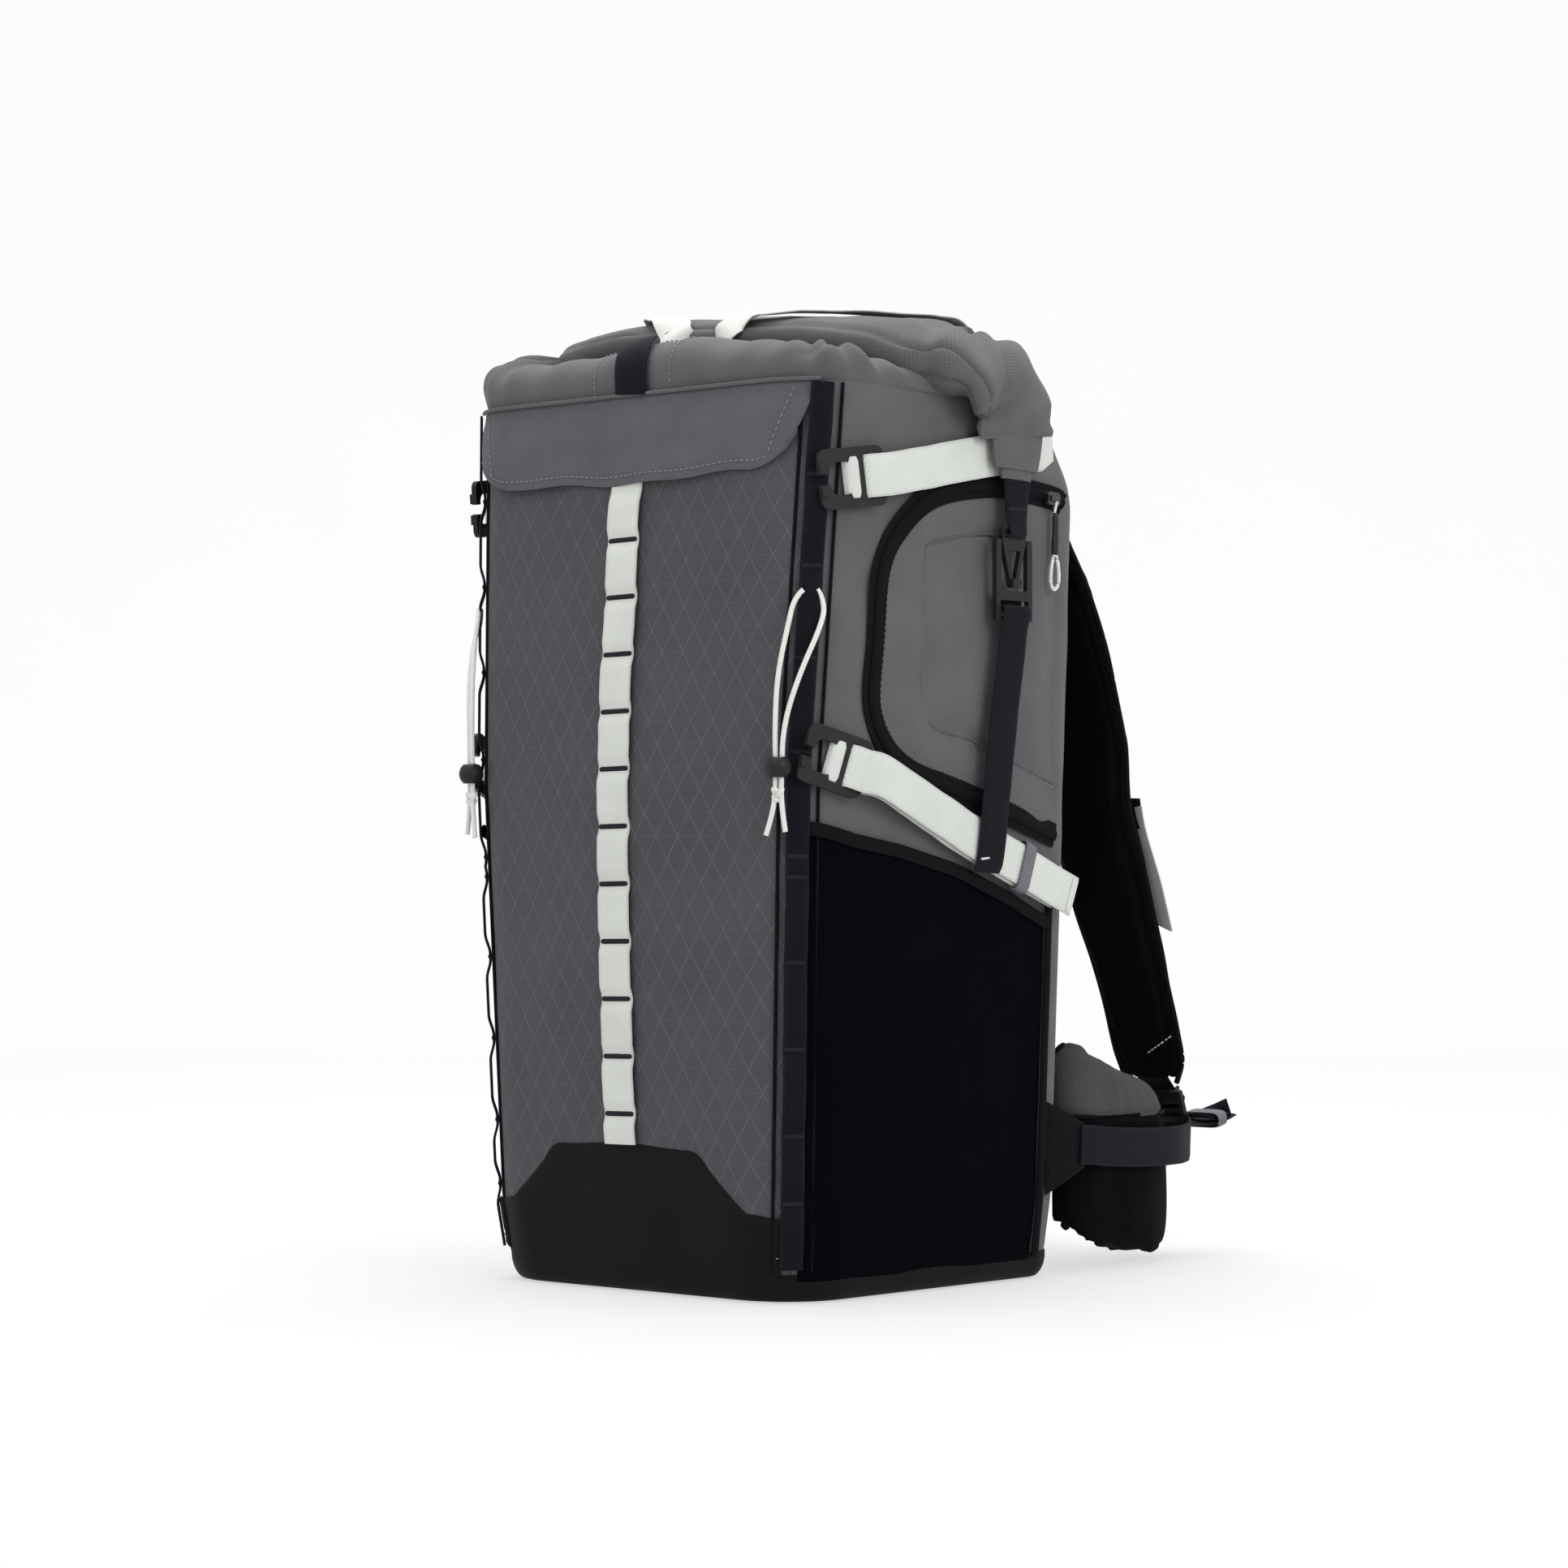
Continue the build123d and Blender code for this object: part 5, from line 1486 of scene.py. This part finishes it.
# ------------------------------------------------------------------ padded pieces by cloth simulation
def super_loft(name, stations, mat, body, m=40, e=0.55, e2=0.38):
    """stations: (centre, width dir, normal dir, half width, half thickness)."""
    verts, faces = [], []
    n = len(stations)
    for c, wd, nn, w, t in stations:
        for k in range(m):
            th = 2 * math.pi * k / m
            cs, sn = math.cos(th), math.sin(th)
            verts.append(c + wd * (math.copysign(abs(cs) ** e, cs) * w) + nn * (math.copysign(abs(sn) ** e2, sn) * t))
    for i in range(n - 1):
        for k in range(m):
            q = (k + 1) % m
            faces.append((i * m + k, i * m + q, (i + 1) * m + q, (i + 1) * m + k))
    faces.append(tuple(range(m)))
    faces.append(tuple((n - 1) * m + k for k in range(m)))
    return make(name, verts, faces, mat, body, None, 60)


def puff(ob, cap=5.0, voxel=4.2, pressure=4.0, post=None):
    """Voxel remesh, inflate with Blender's cloth, cap the movement, keep the result as plain mesh."""
    md = ob.modifiers.new("remesh", "REMESH")
    md.mode = "VOXEL"
    md.voxel_size = voxel * MM
    md.use_smooth_shade = True
    dg = bpy.context.evaluated_depsgraph_get()
    me = bpy.data.meshes.new_from_object(ob.evaluated_get(dg))
    ob.modifiers.clear()
    old = ob.data
    mats = list(old.materials)
    ob.data = me
    me.materials.clear()
    for mt in mats:
        me.materials.append(mt)
    bpy.data.meshes.remove(old)
    nv = len(me.vertices)
    rest = np.zeros(nv * 3)
    me.vertices.foreach_get("co", rest)
    rest = rest.reshape(-1, 3)
    cl = ob.modifiers.new("cloth", "CLOTH")
    s = cl.settings
    s.quality = 5
    s.mass = 0.25
    s.tension_stiffness = 14
    s.compression_stiffness = 10
    s.shear_stiffness = 6
    s.bending_stiffness = 0.4
    s.use_pressure = True
    s.uniform_pressure_force = pressure
    s.effector_weights.gravity = 0.0
    cl.collision_settings.use_collision = False
    sc = bpy.context.scene
    for f in range(1, 21):
        sc.frame_set(f)
    dg = bpy.context.evaluated_depsgraph_get()
    ev = ob.evaluated_get(dg)
    co = np.zeros(nv * 3)
    ev.data.vertices.foreach_get("co", co)
    co = co.reshape(-1, 3)
    ob.modifiers.clear()
    sc.frame_set(1)
    d = co - rest
    l = np.linalg.norm(d, axis=1, keepdims=True)
    d = d * np.minimum(1.0, cap * MM / np.maximum(l, 1e-9))
    me.vertices.foreach_set("co", (rest + d).ravel())
    # relax the voxel steps
    bm = bmesh.new()
    bm.from_mesh(me)
    for _ in range(3):
        bmesh.ops.smooth_vert(bm, verts=bm.verts, factor=0.5, use_axis_x=True, use_axis_y=True, use_axis_z=True)
    bm.to_mesh(me)
    bm.free()
    sub = ob.modifiers.new("sub", "SUBSURF")
    sub.levels = 1
    sub.render_levels = 1
    dg = bpy.context.evaluated_depsgraph_get()
    me2 = bpy.data.meshes.new_from_object(ob.evaluated_get(dg))
    ob.modifiers.clear()
    ob.data = me2
    if post:
        co = np.zeros(len(me2.vertices) * 3)
        me2.vertices.foreach_get("co", co)
        co = co.reshape(-1, 3) / MM
        nr = np.zeros(len(me2.vertices) * 3)
        me2.vertices.foreach_get("normal", nr)
        nr = nr.reshape(-1, 3)
        co = post(co, nr)
        me2.vertices.foreach_set("co", (co * MM).ravel())
    for p in me2.polygons:
        p.use_smooth = True
    me2.update()
    return ob


def edge_pts(ob, stations, side, back=0.5):
    """Points along the padded piece's own edge, found from its finished mesh."""
    co = np.zeros(len(ob.data.vertices) * 3)
    ob.data.vertices.foreach_get("co", co)
    co = co.reshape(-1, 3) / MM
    out = []
    n = len(stations)
    for i in range(n):
        c, wd, nn = stations[i][0], stations[i][1], stations[i][2]
        tg = (stations[min(i + 1, n - 1)][0] - stations[max(i - 1, 0)][0]).normalized()
        d = co - np.array(tuple(c))
        t = d @ np.array(tuple(tg))
        w = d @ np.array(tuple(wd)) * side
        h = d @ np.array(tuple(nn))
        ok = (np.abs(t) < 4.0) & (np.abs(h) < 14.0) & (w > 0) & (w < stations[i][3] + 12.0)
        if ok.sum() < 4:
            continue
        k = np.argsort(-w[ok])[:4]
        out.append(c + wd * (side * (float(w[ok][k[0]]) - back)) + nn * float(h[ok][k].mean()))
    for _ in range(3):
        out = [out[0]] + [(out[i - 1] + out[i] * 2 + out[i + 1]) / 4 for i in range(1, len(out) - 1)] + [out[-1]]
    return out


SS_YZ = [(136.4, 503.0), (148.0, 479.0), (178.0, 430.0), (199.0, 375.0), (210.0, 330.0), (212.0, 287.0),
         (230.0, 240.0), (256.0, 184.0), (281.0, 132.0), (290.0, 108.0)]
SS_X = [62.0, 68.0, 76.0, 80.0, 82.0, 83.0, 83.0, 82.0, 80.0, 80.0]
SS_W = [54.0, 62.0, 68.0, 70.0, 70.0, 68.0, 66.0, 62.0, 54.0, 40.0]
SS_T = [6.0, 10.0, 13.0, 13.0, 13.0, 13.0, 13.0, 13.0, 11.0, 8.0]


def strap_stations(shrink_w=-4.5, shrink_t=2.0, k=8):
    C = catmull([(x, y, z) for x, (y, z) in zip(SS_X, SS_YZ)], k)
    W = [v.x for v in catmull([Vector((w, 0, 0)) for w in SS_W], k)]
    T = [v.x for v in catmull([Vector((t, 0, 0)) for t in SS_T], k)]
    st = []
    n = len(C)
    for i in range(n):
        tg = (C[min(i + 1, n - 1)] - C[max(i - 1, 0)]).normalized()
        nn = Vector((0, -tg.z, tg.y)).normalized()
        if nn.y < 0:
            nn = -nn
        wd = nn.cross(tg).normalized()
        nn = tg.cross(wd).normalized()
        if nn.y < 0:
            nn = -nn
        st.append((C[i] + nn * (T[i] / 2), wd, nn, W[i] / 2 - shrink_w, max(1.5, T[i] / 2 - shrink_t)))
    return st


ST = strap_stations()
ST_C = np.array([tuple(s[0]) for s in ST])


def strap_post(co, nr):
    """Seam channel near each edge, shallow cross creases in the bend."""
    C = ST_C
    out = co.copy()
    for a in range(0, len(co), 4000):
        blk = co[a:a + 4000]
        d = np.linalg.norm(np.abs(blk[:, None, :] * np.array([1, 1, 1])) * 0 + blk[:, None, :] - C[None] * np.array([sgn[0], 1, 1]), axis=2)
        i = d.argmin(1)
        wd = np.array([tuple(ST[q][1]) for q in i]) * np.array([sgn[0], 1, 1])
        half = np.array([ST[q][3] - 3.5 for q in i])
        t = ((blk - C[i] * np.array([sgn[0], 1, 1])) * wd).sum(1)
        g = np.exp(-(((np.abs(t) - (half - 8.0)) / 1.5) ** 2)) * 1.5
        w = np.array([noise.noise(Vector((p[0] * 0.02, p[1] * 0.02, p[2] * 0.035))) for p in blk]) * 0.9
        out[a:a + 4000] = blk - nr[a:a + 4000] * (g - w)[:, None]
    return out


sgn = [1]
shoulder = {}
for sd, sx in (("right", 1), ("left", -1)):
    sgn[0] = sx
    st = [((c if sx == 1 else mirx(c)), (wd if sx == 1 else mirx(wd)), (nn if sx == 1 else mirx(nn)), w, t) for c, wd, nn, w, t in ST]
    ob = super_loft("shoulder_pad_" + sd, st, M_PAD, "strap_" + sd)
    puff(ob, cap=5.0, voxel=4.2, post=strap_post)
    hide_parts("shoulder_strap_" + sd)
    shoulder[sd] = ob
    ob_pad = ob
    mm_ = (lambda p: Vector(p)) if sx == 1 else mirx
    # bound edges
    jj = new_join()
    for side in (-1, 1):
        tube(jj, edge_pts(ob, st[2:-1], side), 1.9, m=8, k=2)
    finish_join("shoulder_binding_" + sd, jj, M_PIPE, "strap_" + sd, 60)
    # webbing sewn down the middle of the outer face
    k0, k1 = 18, len(ST) - 3
    pts = [mm_(s[0] + s[2] * (s[4] + 4.4)) for s in ST[k0:k1:4]]
    ns = [mm_(s[2]) for s in ST[k0:k1:4]]
    ribbon("shoulder_centre_webbing_" + sd, pts, ns, 20.0, 1.5, M_BLACK, "strap_" + sd, k=4, across=6, seed=90 + sx)
    jj = new_join()
    for q in range(k0 + 3, k1, 6):
        s = ST[q]
        bar(jj, mm_(s[0] + s[2] * (s[4] + 6.2)), mm_(s[1]), mm_(s[2]), 18.0, 2.2, 0.5)
    # stitched end of the padding, just above the ladder lock
    finish_join("shoulder_bartacks_" + sd, jj, M_THREADB, "strap_" + sd)
    padbv = BVHTree.FromPolygons([v.co / MM for v in ob_pad.data.vertices], [tuple(p.vertices) for p in ob_pad.data.polygons])
    jj = new_join()
    for side, q0, w0, w1 in ((1, -14, -0.5, 0.5), (-1, -9, -0.8, -0.15)):
        s = ST[q0]
        nn_ = mm_(s[2]) * side
        row, rn = [], []
        for q in range(26):
            f = w0 + (w1 - w0) * q / 25
            o = mm_(s[0] + s[1] * (s[3] * f) + Vector((0, 0, 13.0 * (1 - (f - w0) / (w1 - w0))))) + nn_ * 40.0
            h = padbv.ray_cast(o, -nn_)
            if h[0] is not None:
                row.append(h[0] + nn_ * 0.25)
                rn.append(nn_)
        if len(row) > 3:
            stitch_line(jj, row, rn, pitch=3.4, length=2.4, dia=0.5)
    finish_join("shoulder_end_stitches_" + sd, jj, M_THREADW, "strap_" + sd)
    # short webbing that holds the ladder lock to the strap
    pts = [mm_(p) for p in ((80.5, 287.0, 116.0), (82.5, 291.0, 109.0), (84.6, 295.2, 102.6), (85.8, 297.6, 99.6), (86.0, 294.2, 98.6), (84.0, 289.0, 105.0))]
    ns = [mm_(n) for n in ((0, 0.9, 0.4), (0, 0.9, 0.4), (0, 0.9, 0.4), (0, 0.3, -0.9), (0, -0.9, -0.4), (0, -0.9, -0.4))]
    ribbon("lock_webbing_" + sd, pts, ns, 24.5, 1.5, M_BLACK, "strap_" + sd, k=6, across=6, seed=94 + sx)

# lower webbing from the anchor patch to the ladder lock, with its folded tail
low = {}
for sd, sx in (("right", 1), ("left", -1)):
    mm_ = (lambda p: Vector(p)) if sx == 1 else mirx
    pts = [(139.6, 136.0, 80.5), (139.6, 150.0, 79.6), (138.6, 180.0, 77.0), (135.4, 215.0, 75.2), (129.5, 250.0, 74.4), (116.0, 280.0, 75.0),
           (101.0, 296.4, 78.0), (89.5, 298.6, 85.0), (86.5, 295.2, 91.6), (86.2, 297.8, 95.4), (87.5, 300.6, 90.0), (92.0, 303.0, 84.0)]
    ns = [(1, 0, 0), (1, 0, 0), (1, 0.06, 0), (0.98, 0.16, 0), (0.9, 0.4, 0), (0.66, 0.75, 0), (0.3, 0.95, 0), (0.1, 0.95, 0.3), (0, 0.95, 0.3),
          (0, 0.2, 1), (0.1, 0.95, 0.25), (0.25, 0.9, 0.2)]
    ob = ribbon("lower_webbing_cloth_" + sd, [mm_(p) for p in pts], [mm_(n) for n in ns], 24.5, 1.6, M_BLACK, None, k=9, across=8,
                wave=0.5, seed=100 + sx)
    tuple(mm_(Vector((139.6, 142.0, 80.0))) * MM)
    tuple(mm_(Vector((112.0, 284.0, 78.0))) * MM)
    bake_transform(ob)
    low[sd] = ob
    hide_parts("lower_webbing_" + sd)
    # tail, rolled back on itself and held by an elastic keeper
    pts = [(92.0, 303.4, 84.5), (96.0, 309.0, 82.5), (98.5, 320.0, 83.2), (100.0, 330.0, 85.5), (100.6, 339.0, 88.4)]
    ns = [(0.1, 0.6, 0.75), (0, 0.3, 0.95), (0, 0.0, 1), (0, -0.2, 0.98), (0, -0.25, 0.97)]
    ribbon("lower_tail_" + sd, [mm_(p) for p in pts], [mm_(n) for n in ns], 24.5, 1.6, M_BLACK, "strap_" + sd, k=8, across=8, seed=104 + sx)
    pts = [(94.5, 306.5, 85.6), (98.2, 318.0, 86.0), (99.6, 327.0, 87.6), (99.9, 332.4, 89.6), (99.5, 328.0, 91.0), (97.8, 317.0, 88.8)]
    ns = [(0, 0.3, 0.95), (0, 0.0, 1), (0, -0.2, 0.98), (0, 0.9, 0.3), (0, 0.2, -0.98), (0, 0.1, -0.98)]
    ribbon("lower_tail_fold_" + sd, [mm_(p) for p in pts], [mm_(n) for n in ns], 24.0, 1.5, M_BLACK, "strap_" + sd, k=7, across=8, seed=106 + sx)
    cen = Vector((98.9, 322.5, 86.8))
    al = Vector((0.06, 0.97, 0.2))
    loop, nl = [], []
    for q in range(28):
        a = 2 * math.pi * q / 28
        c, s = math.cos(a), math.sin(a)
        loop.append(mm_(cen + Vector((1, 0, 0)) * (math.copysign(abs(c) ** 0.35, c) * 13.6) + Vector((0, -0.2, 0.98)) * (math.copysign(abs(s) ** 0.5, s) * 4.4)))
        nl.append(mm_(Vector((c * 0.7, 0, 0)) + Vector((0, -0.2, 0.98)) * s))
    ribbon("tail_keeper_" + sd, loop, nl, 9.0, 1.0, M_ELASTIC, "strap_" + sd, k=1, across=4, cyclic=True)
    for nm in ("strap_ladder_lock_" + sd,):
        pass

# ------------------------------------------------------------------ sternum straps
for sd, sx in (("right", 1), ("left", -1)):
    mm_ = (lambda p: Vector(p)) if sx == 1 else mirx
    pts = [(116.0, 229.0, 286.0), (100.0, 230.4, 286.4), (70.0, 230.4, 287.0), (44.0, 230.2, 286.0), (29.5, 229.6, 285.0)]
    ob = ribbon("sternum_cloth_" + sd, [mm_(p) for p in pts], (0, 1, 0.1), 19.5, 1.5, M_BLACK, "sternum_" + sd, k=6, across=6, seed=110 + sx)
    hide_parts("sternum_webbing_" + sd)
    pts = [(110.5, 229.5, 290.0), (112.0, 231.5, 278.0), (113.0, 238.5, 262.0), (113.6, 246.5, 244.0), (113.0, 254.0, 227.0), (112.0, 260.0, 212.5)]
    ns = [(0.4, 0.9, 0.1), (0.45, 0.9, 0.2), (0.5, 0.85, 0.3), (0.5, 0.85, 0.3), (0.5, 0.85, 0.3), (0.45, 0.85, 0.3)]
    ribbon("sternum_tail_" + sd, [mm_(p) for p in pts], [mm_(n) for n in ns], 19.5, 1.6, M_WHITE20, "sternum_" + sd, k=9, across=8, seed=112 + sx)

# ------------------------------------------------------------------ hip belt wings
WP = [(109.0, 138.0), (123.5, 139.5), (131.0, 152.0), (129.5, 182.0), (123.5, 234.0), (106.0, 266.0), (80.0, 288.0)]
WZ = [(30.0, 138.0), (26.0, 143.0), (20.0, 141.0), (12.0, 133.0), (6.0, 117.0), (6.0, 105.0), (10.0, 94.0)]


def wing_stations(k=10):
    C = catmull([(x, y, 0) for x, y in WP], k)
    Z0 = [v.x for v in catmull([Vector((a, 0, 0)) for a, b in WZ], k)]
    Z1 = [v.x for v in catmull([Vector((b, 0, 0)) for a, b in WZ], k)]
    st = []
    n = len(C)
    for i in range(n):
        tg = (C[min(i + 1, n - 1)] - C[max(i - 1, 0)]).normalized()
        nn = Vector((tg.y, -tg.x, 0))
        th = 12.0 if 4 < i < n - 6 else 9.0
        c = Vector((C[i].x, C[i].y, (Z0[i] + Z1[i]) / 2)) - nn * (th / 2)
        st.append((c, Vector((0, 0, 1)), nn, (Z1[i] - Z0[i]) / 2 + 3.0, th / 2 - 1.8))
    # rounded tip
    c, wd, nn, w, t = st[-1]
    tg = (st[-1][0] - st[-3][0])
    tg = Vector((tg.x, tg.y, 0)).normalized()
    for d, kk in ((4.0, 0.86), (7.0, 0.62), (8.5, 0.3)):
        st.append((c + tg * d, wd, nn, w * kk, t * (0.6 + 0.4 * kk)))
    return st


WS_ = wing_stations()
WS_C = np.array([tuple(s[0]) for s in WS_])


def seam_z(q):
    """Height of the seam between the wing's upper and lower panels."""
    return 99.0 - 0.10 * q


def wing_post(co, nr):
    out = co.copy()
    sxx = np.array([sgn[0], 1, 1])
    Z1 = np.array([s[0].z + s[3] for s in WS_])
    Z0 = np.array([s[0].z - s[3] for s in WS_])
    SZ = np.array([seam_z(q) for q in range(len(WS_))])
    d = np.linalg.norm(co[:, None, :2] * np.array([sgn[0], 1]) - WS_C[None, :, :2], axis=2)
    i = d.argmin(1)
    z = co[:, 2]
    g = 1.9 * np.exp(-(((z - SZ[i]) / 1.8) ** 2))
    g += 1.3 * np.exp(-(((z - (Z1[i] - 6.0)) / 1.5) ** 2)) + 1.3 * np.exp(-(((z - (Z0[i] + 6.0)) / 1.5) ** 2))
    w = np.array([noise.noise(Vector((p[0] * 0.02, p[1] * 0.03, p[2] * 0.02))) for p in co]) * 1.1
    out = co - nr * (g - w)[:, None]
    return out


for sd, sx in (("right", 1), ("left", -1)):
    sgn[0] = sx
    mm_ = (lambda p: Vector(p)) if sx == 1 else mirx
    st = [(mm_(c), mm_(wd), mm_(nn), w, t) for c, wd, nn, w, t in WS_]
    ob = super_loft("hip_pad_" + sd, st, M_PAD, "hip_" + sd, e=0.45)
    puff(ob, cap=5.0, voxel=4.2, post=wing_post)
    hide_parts("hip_wing_" + sd)
    me = ob.data
    me.materials.append(M_PADG)
    for p in me.polygons:
        c = p.center / MM
        q = int(np.argmin(np.hypot(WS_C[:, 0] - abs(c.x), WS_C[:, 1] - c.y)))
        if c.z > seam_z(q):
            p.material_index = 1
    # webbing pocket seam piping along the panel line
    jj = new_join()
    pts = [mm_(s[0] + s[2] * (s[4] + 1.9) + Vector((0, 0, seam_z(q) - s[0].z))) for q, s in enumerate(WS_[:-3])]
    tube(jj, pts, 1.3, m=6, k=1)
    for zz in (1, -1):
        tube(jj, edge_pts(ob, st[3:-3], zz), 1.7, m=8, k=2)
    finish_join("hip_binding_" + sd, jj, M_PIPE, "hip_" + sd, 60)
    pts = [(82.0, 281.5, 41.0), (76.0, 287.4, 41.0), (67.0, 293.4, 40.5), (60.5, 296.6, 40.0), (55.4, 298.6, 40.0)]
    ns = [(0.6, 0.8, 0), (0.6, 0.8, 0), (0.5, 0.86, 0), (0.45, 0.9, 0), (0.4, 0.9, 0)]
    wb = ribbon("hip_strap_" + sd, [mm_(p) for p in pts], [mm_(n) for n in ns], 36.0, 2.0, M_BLACK, "hip_" + sd, k=6, across=8, seed=120 + sx)
    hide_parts("hip_webbing_" + sd)

# ------------------------------------------------------------------ back padding, lumbar pad, haul loop
def flat_pad(name, cx, zs, ws, ts, mat, e=0.5, y0=132.6):
    Z = catmull([(cx[i] if isinstance(cx, list) else cx, 0, z) for i, z in enumerate(zs)], 8)
    W = [v.x for v in catmull([Vector((w, 0, 0)) for w in ws], 8)]
    T = [v.x for v in catmull([Vector((t, 0, 0)) for t in ts], 8)]
    st = []
    for c, w, t in zip(Z, W, T):
        st.append((Vector((c.x, y0 + t / 2, c.z)), Vector((1, 0, 0)), Vector((0, 1, 0)), w / 2 - 2.0, t / 2 - 1.2))
    a, b = st[0], st[-1]
    st = [(a[0] + Vector((0, 0, -5.0)), a[1], a[2], a[3] * 0.82, a[4] * 0.6)] + st + [(b[0] + Vector((0, 0, 5.0)), b[1], b[2], b[3] * 0.82, b[4] * 0.6)]
    ob = super_loft(name, st, mat, BODY, e=e)
    return ob


def back_post(co, nr):
    g = np.zeros(len(co))
    for zz in (205.0, 262.0, 320.0, 378.0, 432.0):
        g += 2.4 * np.exp(-(((co[:, 2] - zz + 0.12 * np.abs(co[:, 0])) / 2.2) ** 2)) * (nr[:, 1] > 0.2)
    return co - nr * g[:, None]


def lumbar_post(co, nr):
    g = np.zeros(len(co))
    for zz in (55.0, 88.0, 120.0):
        g += 2.2 * np.exp(-(((co[:, 2] - zz) / 2.2) ** 2)) * (nr[:, 1] > 0.2) * (np.abs(co[:, 0]) < 92)
    return co - nr * g[:, None]


for sd, sx in (("right", 1), ("left", -1)):
    ob = flat_pad("back_pad_" + sd, [sx * 56, sx * 57, sx * 58, sx * 57, sx * 56], [172, 240, 320, 400, 463], [66, 69, 70, 66, 60],
                  [11, 12, 12, 11, 9], M_PAD)
    puff(ob, cap=4.0, voxel=4.4, post=back_post)
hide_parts("back_pads")
lum = flat_pad("lumbar_cushion", 0.0, [30, 55, 80, 115, 142], [206, 208, 208, 205, 200], [12, 14, 15, 13, 11], M_PAD, e=0.3)
puff(lum, cap=4.0, voxel=5.0, post=lumbar_post)
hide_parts("lumbar_pad")

pts = []
for q in range(25):
    t = math.pi * q / 24
    pts.append(Vector((math.cos(t) * 28.0, 135.0 + 3.4 * math.sin(t), 508.0 + 36.5 * math.sin(t) ** 0.6)))
nn = []
for q in range(25):
    t = math.pi * q / 24
    nn.append(Vector((math.cos(t), 0.0, math.sin(t))))
hl = ribbon("haul_loop_cloth", pts, nn, 12.0, 2.2, M_BLACK, "haul_loop", k=2, across=8, seed=130)
hl.data.transform(Matrix.Identity(4))
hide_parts("haul_loop")
# yoke: the reinforced band that the straps and the haul loop are sewn to
yk = patch("harness_yoke", lambda a, b: ((3.7 + 2.6 * a) if 3.7 + 2.6 * a <= 5.0 else -(10.0 - (3.7 + 2.6 * a)), 486.0 + 36.0 * b),
           1.3, 60, 10, M_PIPE, BODY, thick=1.6)

# ------------------------------------------------------------------ carried-over CAD pieces get their materials
def give(node, mat):
    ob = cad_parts[node]
    me = ob.data
    if len(me.materials) == 0:
        me.materials.append(mat)
    for i in range(len(ob.material_slots)):
        ob.material_slots[i].material = mat


for nme in ("upper_strap_hook_right", "upper_strap_hook_left", "lower_strap_hook_right", "lower_strap_hook_left", "roll_buckles",
            "roll_hooks", "strap_ladder_lock_right", "strap_ladder_lock_left", "sternum_buckle_right", "sternum_buckle_left",
            "hip_buckle_female", "hip_buckle_male"):
    give(nme, M_HOOK)
give("cord_ball_right", M_BALL)
give("cord_ball_left", M_BALL)
give("zipper_slider", M_STEEL)
give("frame_sheet", M_SHEET)
give("frame_stays", M_ALU)
give("laptop_sleeve", M_LINING)

# ------------------------------------------------------------------ studio
def floor():
    me = bpy.data.meshes.new("studio_floor")
    n = 40
    pts, fcs = [], []
    prof = [(-3.0, 0.0)] + [(x, 0.0) for x in (-1.0, 0.0, 1.5, 3.2)]
    for i in range(9):
        a = math.pi / 2 * i / 8
        prof.append((3.2 + 1.2 * math.sin(a), 1.2 - 1.2 * math.cos(a)))
    prof.append((4.4, 4.5))
    for t, z in prof:
        for s in (-5.0, 5.0):
            p = FWD * t + R_ * s
            pts.append((p.x, p.y, z - 0.0004))
    for i in range(len(prof) - 1):
        fcs.append((2 * i, 2 * i + 1, 2 * i + 3, 2 * i + 2))
    me.from_pydata(pts, [], fcs)
    for p in me.polygons:
        p.use_smooth = True
    m = NT("studio_white")
    g = m.noise(m.obj(), 3.0, 2.0)
    m.col(m.ramp(g, [(0.3, (0.270, 0.271, 0.277)), (0.7, (0.276, 0.277, 0.283))]))
    m.set(Roughness=0.95, Specular_IOR_Level=0.0, Emission_Strength=1.0)
    dp = m.n("ShaderNodeVectorMath", operation="DOT_PRODUCT")
    m.put(dp.inputs[0], m.obj())
    dp.inputs[1].default_value = tuple(FWD)
    tt = m.math("DIVIDE", m.math("ADD", dp.outputs["Value"], 1.0), 5.0)
    m.put(m.b.inputs["Emission Color"], m.ramp(tt, [(0.06, (0.545, 0.545, 0.553)), (0.46, (0.592, 0.592, 0.602)), (0.78, (0.655, 0.655, 0.667)), (0.87, (0.682, 0.682, 0.694))]))
    me.materials.append(m.m)
    ob = bpy.data.objects.new("studio_floor", me)
    COL.objects.link(ob)


floor()
w = bpy.data.worlds.new("studio")
bpy.context.scene.world = w
w.use_nodes = True
w.node_tree.nodes["Background"].inputs[0].default_value = (0.982, 0.982, 1.0, 1.0)
w.node_tree.nodes["Background"].inputs[1].default_value = 0.955


def area(name, loc, target, size, power, color=(1, 1, 1)):
    ld = bpy.data.lights.new(name, "AREA")
    ld.shape = "RECTANGLE"
    ld.size, ld.size_y = size
    ld.energy = power
    ld.color = color
    ob = bpy.data.objects.new(name, ld)
    COL.objects.link(ob)
    ob.location = loc
    d = Vector(target) - Vector(loc)
    ob.rotation_euler = d.to_track_quat("-Z", "Y").to_euler()


area("key_softbox", FWD * -1.6 + R_ * -1.5 + Vector((0, 0, 2.3)), (0, 0, 0.35), (1.3, 1.3), 11.0, (1.0, 0.99, 0.97))
area("fill_softbox", FWD * -1.8 + R_ * 1.7 + Vector((0, 0, 1.4)), (0, 0, 0.3), (1.3, 1.3), 20.0, (0.97, 0.98, 1.0))
area("top_softbox", FWD * 0.4 + Vector((0, 0, 2.7)), (0, 0, 0.4), (1.8, 1.8), 58.0)
bpy.context.scene.view_settings.view_transform = "Standard"
bpy.context.scene.view_settings.look = "None"
